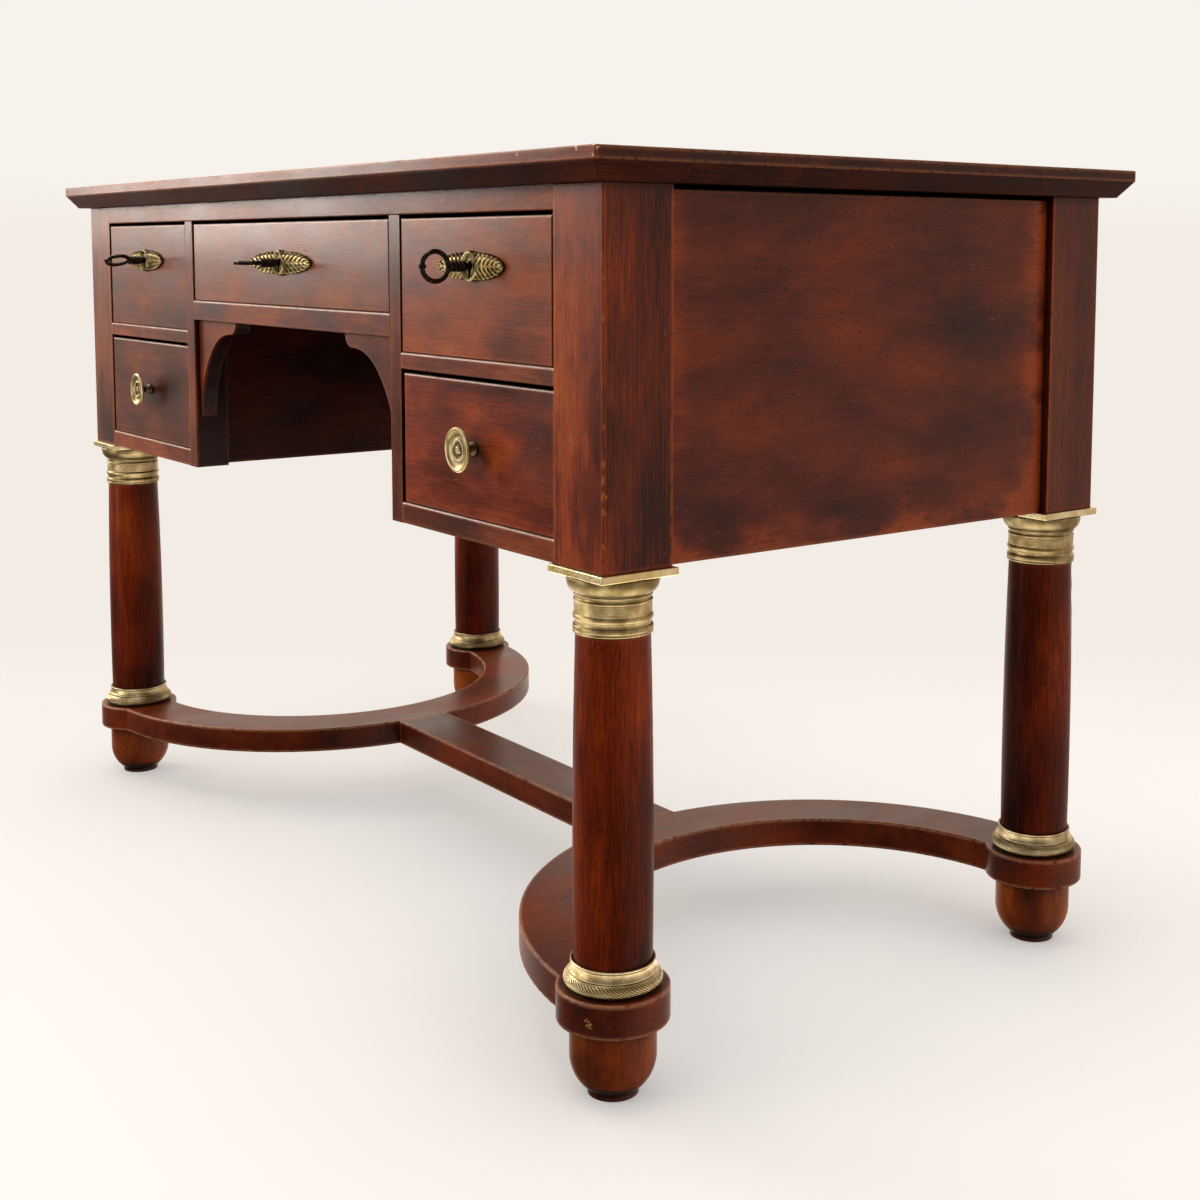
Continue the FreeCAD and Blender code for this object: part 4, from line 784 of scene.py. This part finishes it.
# The glow is painted light, brighter towards the right
# Each mask: what it is read from in metres, where it starts and where it is full, and its least and its most
FLOOR_RANGES = {
    "glow": (rightward, -1.2, 0.9, 0.56, 0.7), "distant": (outward, 1.2, 3.0, 0.0, 1.0),
    "behind": (backward, -0.2, 1.2, 0.0, 1.0),
}
mask = {}
for key, (source, start, full, least, most) in FLOOR_RANGES.items():
    inputs = {"Value": source, "From Min": start, "From Max": full, "To Min": least, "To Max": most}
    mask[key] = add(tree, "MapRange", inputs, interpolation_type="SMOOTHSTEP")
air = add(tree, "AmbientOcclusion", {"Distance": SHADOW_REACH}, "AO", samples=8)
shadow = add(tree, "Math", {0: air, 1: SHADOW_SHARE, 2: 1 - SHADOW_SHARE}, operation="MULTIPLY_ADD")
dimmed = add(tree, "Math", {0: mask["glow"], 1: shadow}, operation="MULTIPLY")
tree.links.new(dimmed, surface.inputs["Emission Strength"])
far = add(tree, "Math", {0: mask["distant"], 1: mask["behind"]}, operation="MAXIMUM")
haze = add(tree, "Emission", {"Color": linear(HORIZON)})
blended = add(tree, "MixShader", {0: far, 1: surface.outputs[0], 2: haze})
tree.links.new(blended, tree.nodes["Material Output"].inputs["Surface"])
floor.data.materials.append(paper)
floor.visible_glossy = False
floor.visible_diffuse = False

# Light
# A soft dome that is brightest behind the desk, so that polish seen aslant shines, and soft boxes round the
# desk. Cards of light that only the brass takes give it its bright edges.

world = bpy.data.worlds.new("studio_dome")
bpy.context.scene.world = world
world.use_nodes = True
tree = world.node_tree
sky = tree.nodes["Background"]
towards = add(tree, "TexCoord", {}, "Generated")
# Each part of the dome: the way it lies, where it starts and is full, and its brightness
DOME = [((-0.79, 0.61, 0.25), 0.3, 0.9, 1.0), ((0.7, 0.7, 0.1), 0.2, 0.9, 0.55)]
DOME_LEAST = 0.12
WALL_RISE = 0.05
glow = DOME_LEAST
for way, start, full, bright in DOME:
    inputs = {0: towards, 1: Vector(way).normalized()}
    facing = add(tree, "VectorMath", inputs, "Value", operation="DOT_PRODUCT")
    inputs = {"Value": facing, "From Min": start, "From Max": full, "To Max": bright}
    part = add(tree, "MapRange", inputs, interpolation_type="SMOOTHSTEP")
    glow = add(tree, "Math", {0: glow, 1: part}, operation="ADD")
tree.links.new(glow, sky.inputs["Strength"])
sky.inputs["Color"].default_value = linear("#ffe9d8")
rise = add(tree, "SeparateXYZ", {0: towards}, "Z")
share = add(tree, "MapRange", {"Value": rise, "From Max": WALL_RISE}, interpolation_type="SMOOTHSTEP")
wall = add(tree, "Mix", {0: share, 6: linear(HORIZON), 7: linear(BACKDROP)}, 2, data_type="RGBA")
backdrop = add(tree, "Background", {"Color": wall, "Strength": 1.0})
seen = add(tree, "LightPath", {}, "Is Camera Ray")
shown = add(tree, "MixShader", {0: seen, 1: sky.outputs[0], 2: backdrop})
tree.links.new(shown, tree.nodes["World Output"].inputs["Surface"])

brass_work = bpy.data.collections.new("brass_work")
for made in list(bpy.data.objects):
    metals = [slot.material.name for slot in made.material_slots if slot.material]
    if made.type == "MESH" and any("brass" in metal for metal in metals):
        brass_work.objects.link(made)
# Each lamp: where its middle stands, what it looks at, its width and height in metres, its brightness, and
# whether polish mirrors it, or only brass takes it
LAMPS = {
    "softbox_left": ((-2.73, -1.56, 1.45), (0.0, -0.3, 0.75), 1.0, 1.5, 9.6, True),
    "softbox_above": ((0.1, -0.3, 2.6), (0.1, -0.3, 0.6), 1.4, 1.4, 5.4, True),
    "fill_front": ((-0.6, -3.2, 2.0), (0.0, 0.0, 0.4), 2.4, 1.8, 3.8, False),
    "fill_right": ((3.4, 0.4, 1.8), (0.0, 0.0, 0.4), 2.4, 1.8, 1.8, False),
    "brass_card_front": ((2.2, -2.6, 0.9), (0.5, -0.26, 0.35), 1.3, 2.0, 0.5, "brass"),
    "edge_strip": ((-2.4, -0.5, 2.3), (0.0, -0.2, 0.5), 0.8, 0.6, 16.0, True),
    "column_strip": ((-0.94, -2.39, 0.5), (0.54, -0.26, 0.3), 0.5, 1.0, 4.4, True),
    "brass_floor": ((0.35, -0.3, 0.004), (0.35, -0.3, 1.0), 1.6, 1.3, 2.2, "brass"),
    "brass_card_low": ((-0.6, -2.6, 0.5), (0.3, -0.26, 0.3), 0.9, 1.6, 3.0, "brass"),
}
for name, (place, target, wide, high, bright, mirrored) in LAMPS.items():
    panel = bpy.data.lights.new(name, "AREA")
    panel.shape = "RECTANGLE"
    panel.size = wide
    panel.size_y = high
    panel.color = linear("#fff4ea")[:3]
    panel.energy = math.pi * wide * high * bright
    lamp = bpy.data.objects.new(name, panel)
    bpy.context.collection.objects.link(lamp)
    lamp.location = place
    lamp.rotation_euler = (Vector(target) - Vector(place)).to_track_quat("-Z", "Y").to_euler()
    lamp.visible_camera = False
    lamp.visible_glossy = bool(mirrored)
    if mirrored == "brass":
        lamp.light_linking.receiver_collection = brass_work

# Camera
# It stands where the photograph was taken, a little lower than the desk's top. The place, the angles in
# degrees and the focal length come from a fit to the edges and the legs.

CAMERA_PLACE = Vector((1.6168, -1.03425, 0.69179))
YAW, PITCH, ROLL = (math.radians(angle) for angle in (52.43, -5.49, 0.18))
PHOTO_SIDE = 1200
FOCAL_PIXELS = 1669.0
CENTRE_PIXEL = (667.4, 410.97)
ahead = Vector((-math.sin(YAW) * math.cos(PITCH), math.cos(YAW) * math.cos(PITCH), math.sin(PITCH)))
level = Vector((math.cos(YAW), math.sin(YAW), 0))
upward = level.cross(ahead)
side = level * math.cos(ROLL) + upward * math.sin(ROLL)
upward = upward * math.cos(ROLL) - level * math.sin(ROLL)
lens = bpy.data.cameras.new("photo_camera")
lens.sensor_width = 36.0
lens.lens = lens.sensor_width * FOCAL_PIXELS / PHOTO_SIDE
lens.shift_x = (PHOTO_SIDE / 2 - CENTRE_PIXEL[0]) / PHOTO_SIDE
lens.shift_y = (CENTRE_PIXEL[1] - PHOTO_SIDE / 2) / PHOTO_SIDE
lens.clip_end = 200.0
camera = bpy.data.objects.new("photo_camera", lens)
bpy.context.collection.objects.link(camera)
turn = Matrix((side, upward, -ahead)).transposed().to_4x4()
camera.matrix_world = Matrix.Translation(CAMERA_PLACE) @ turn
bpy.context.scene.camera = camera
bpy.context.scene.view_settings.view_transform = "Standard"
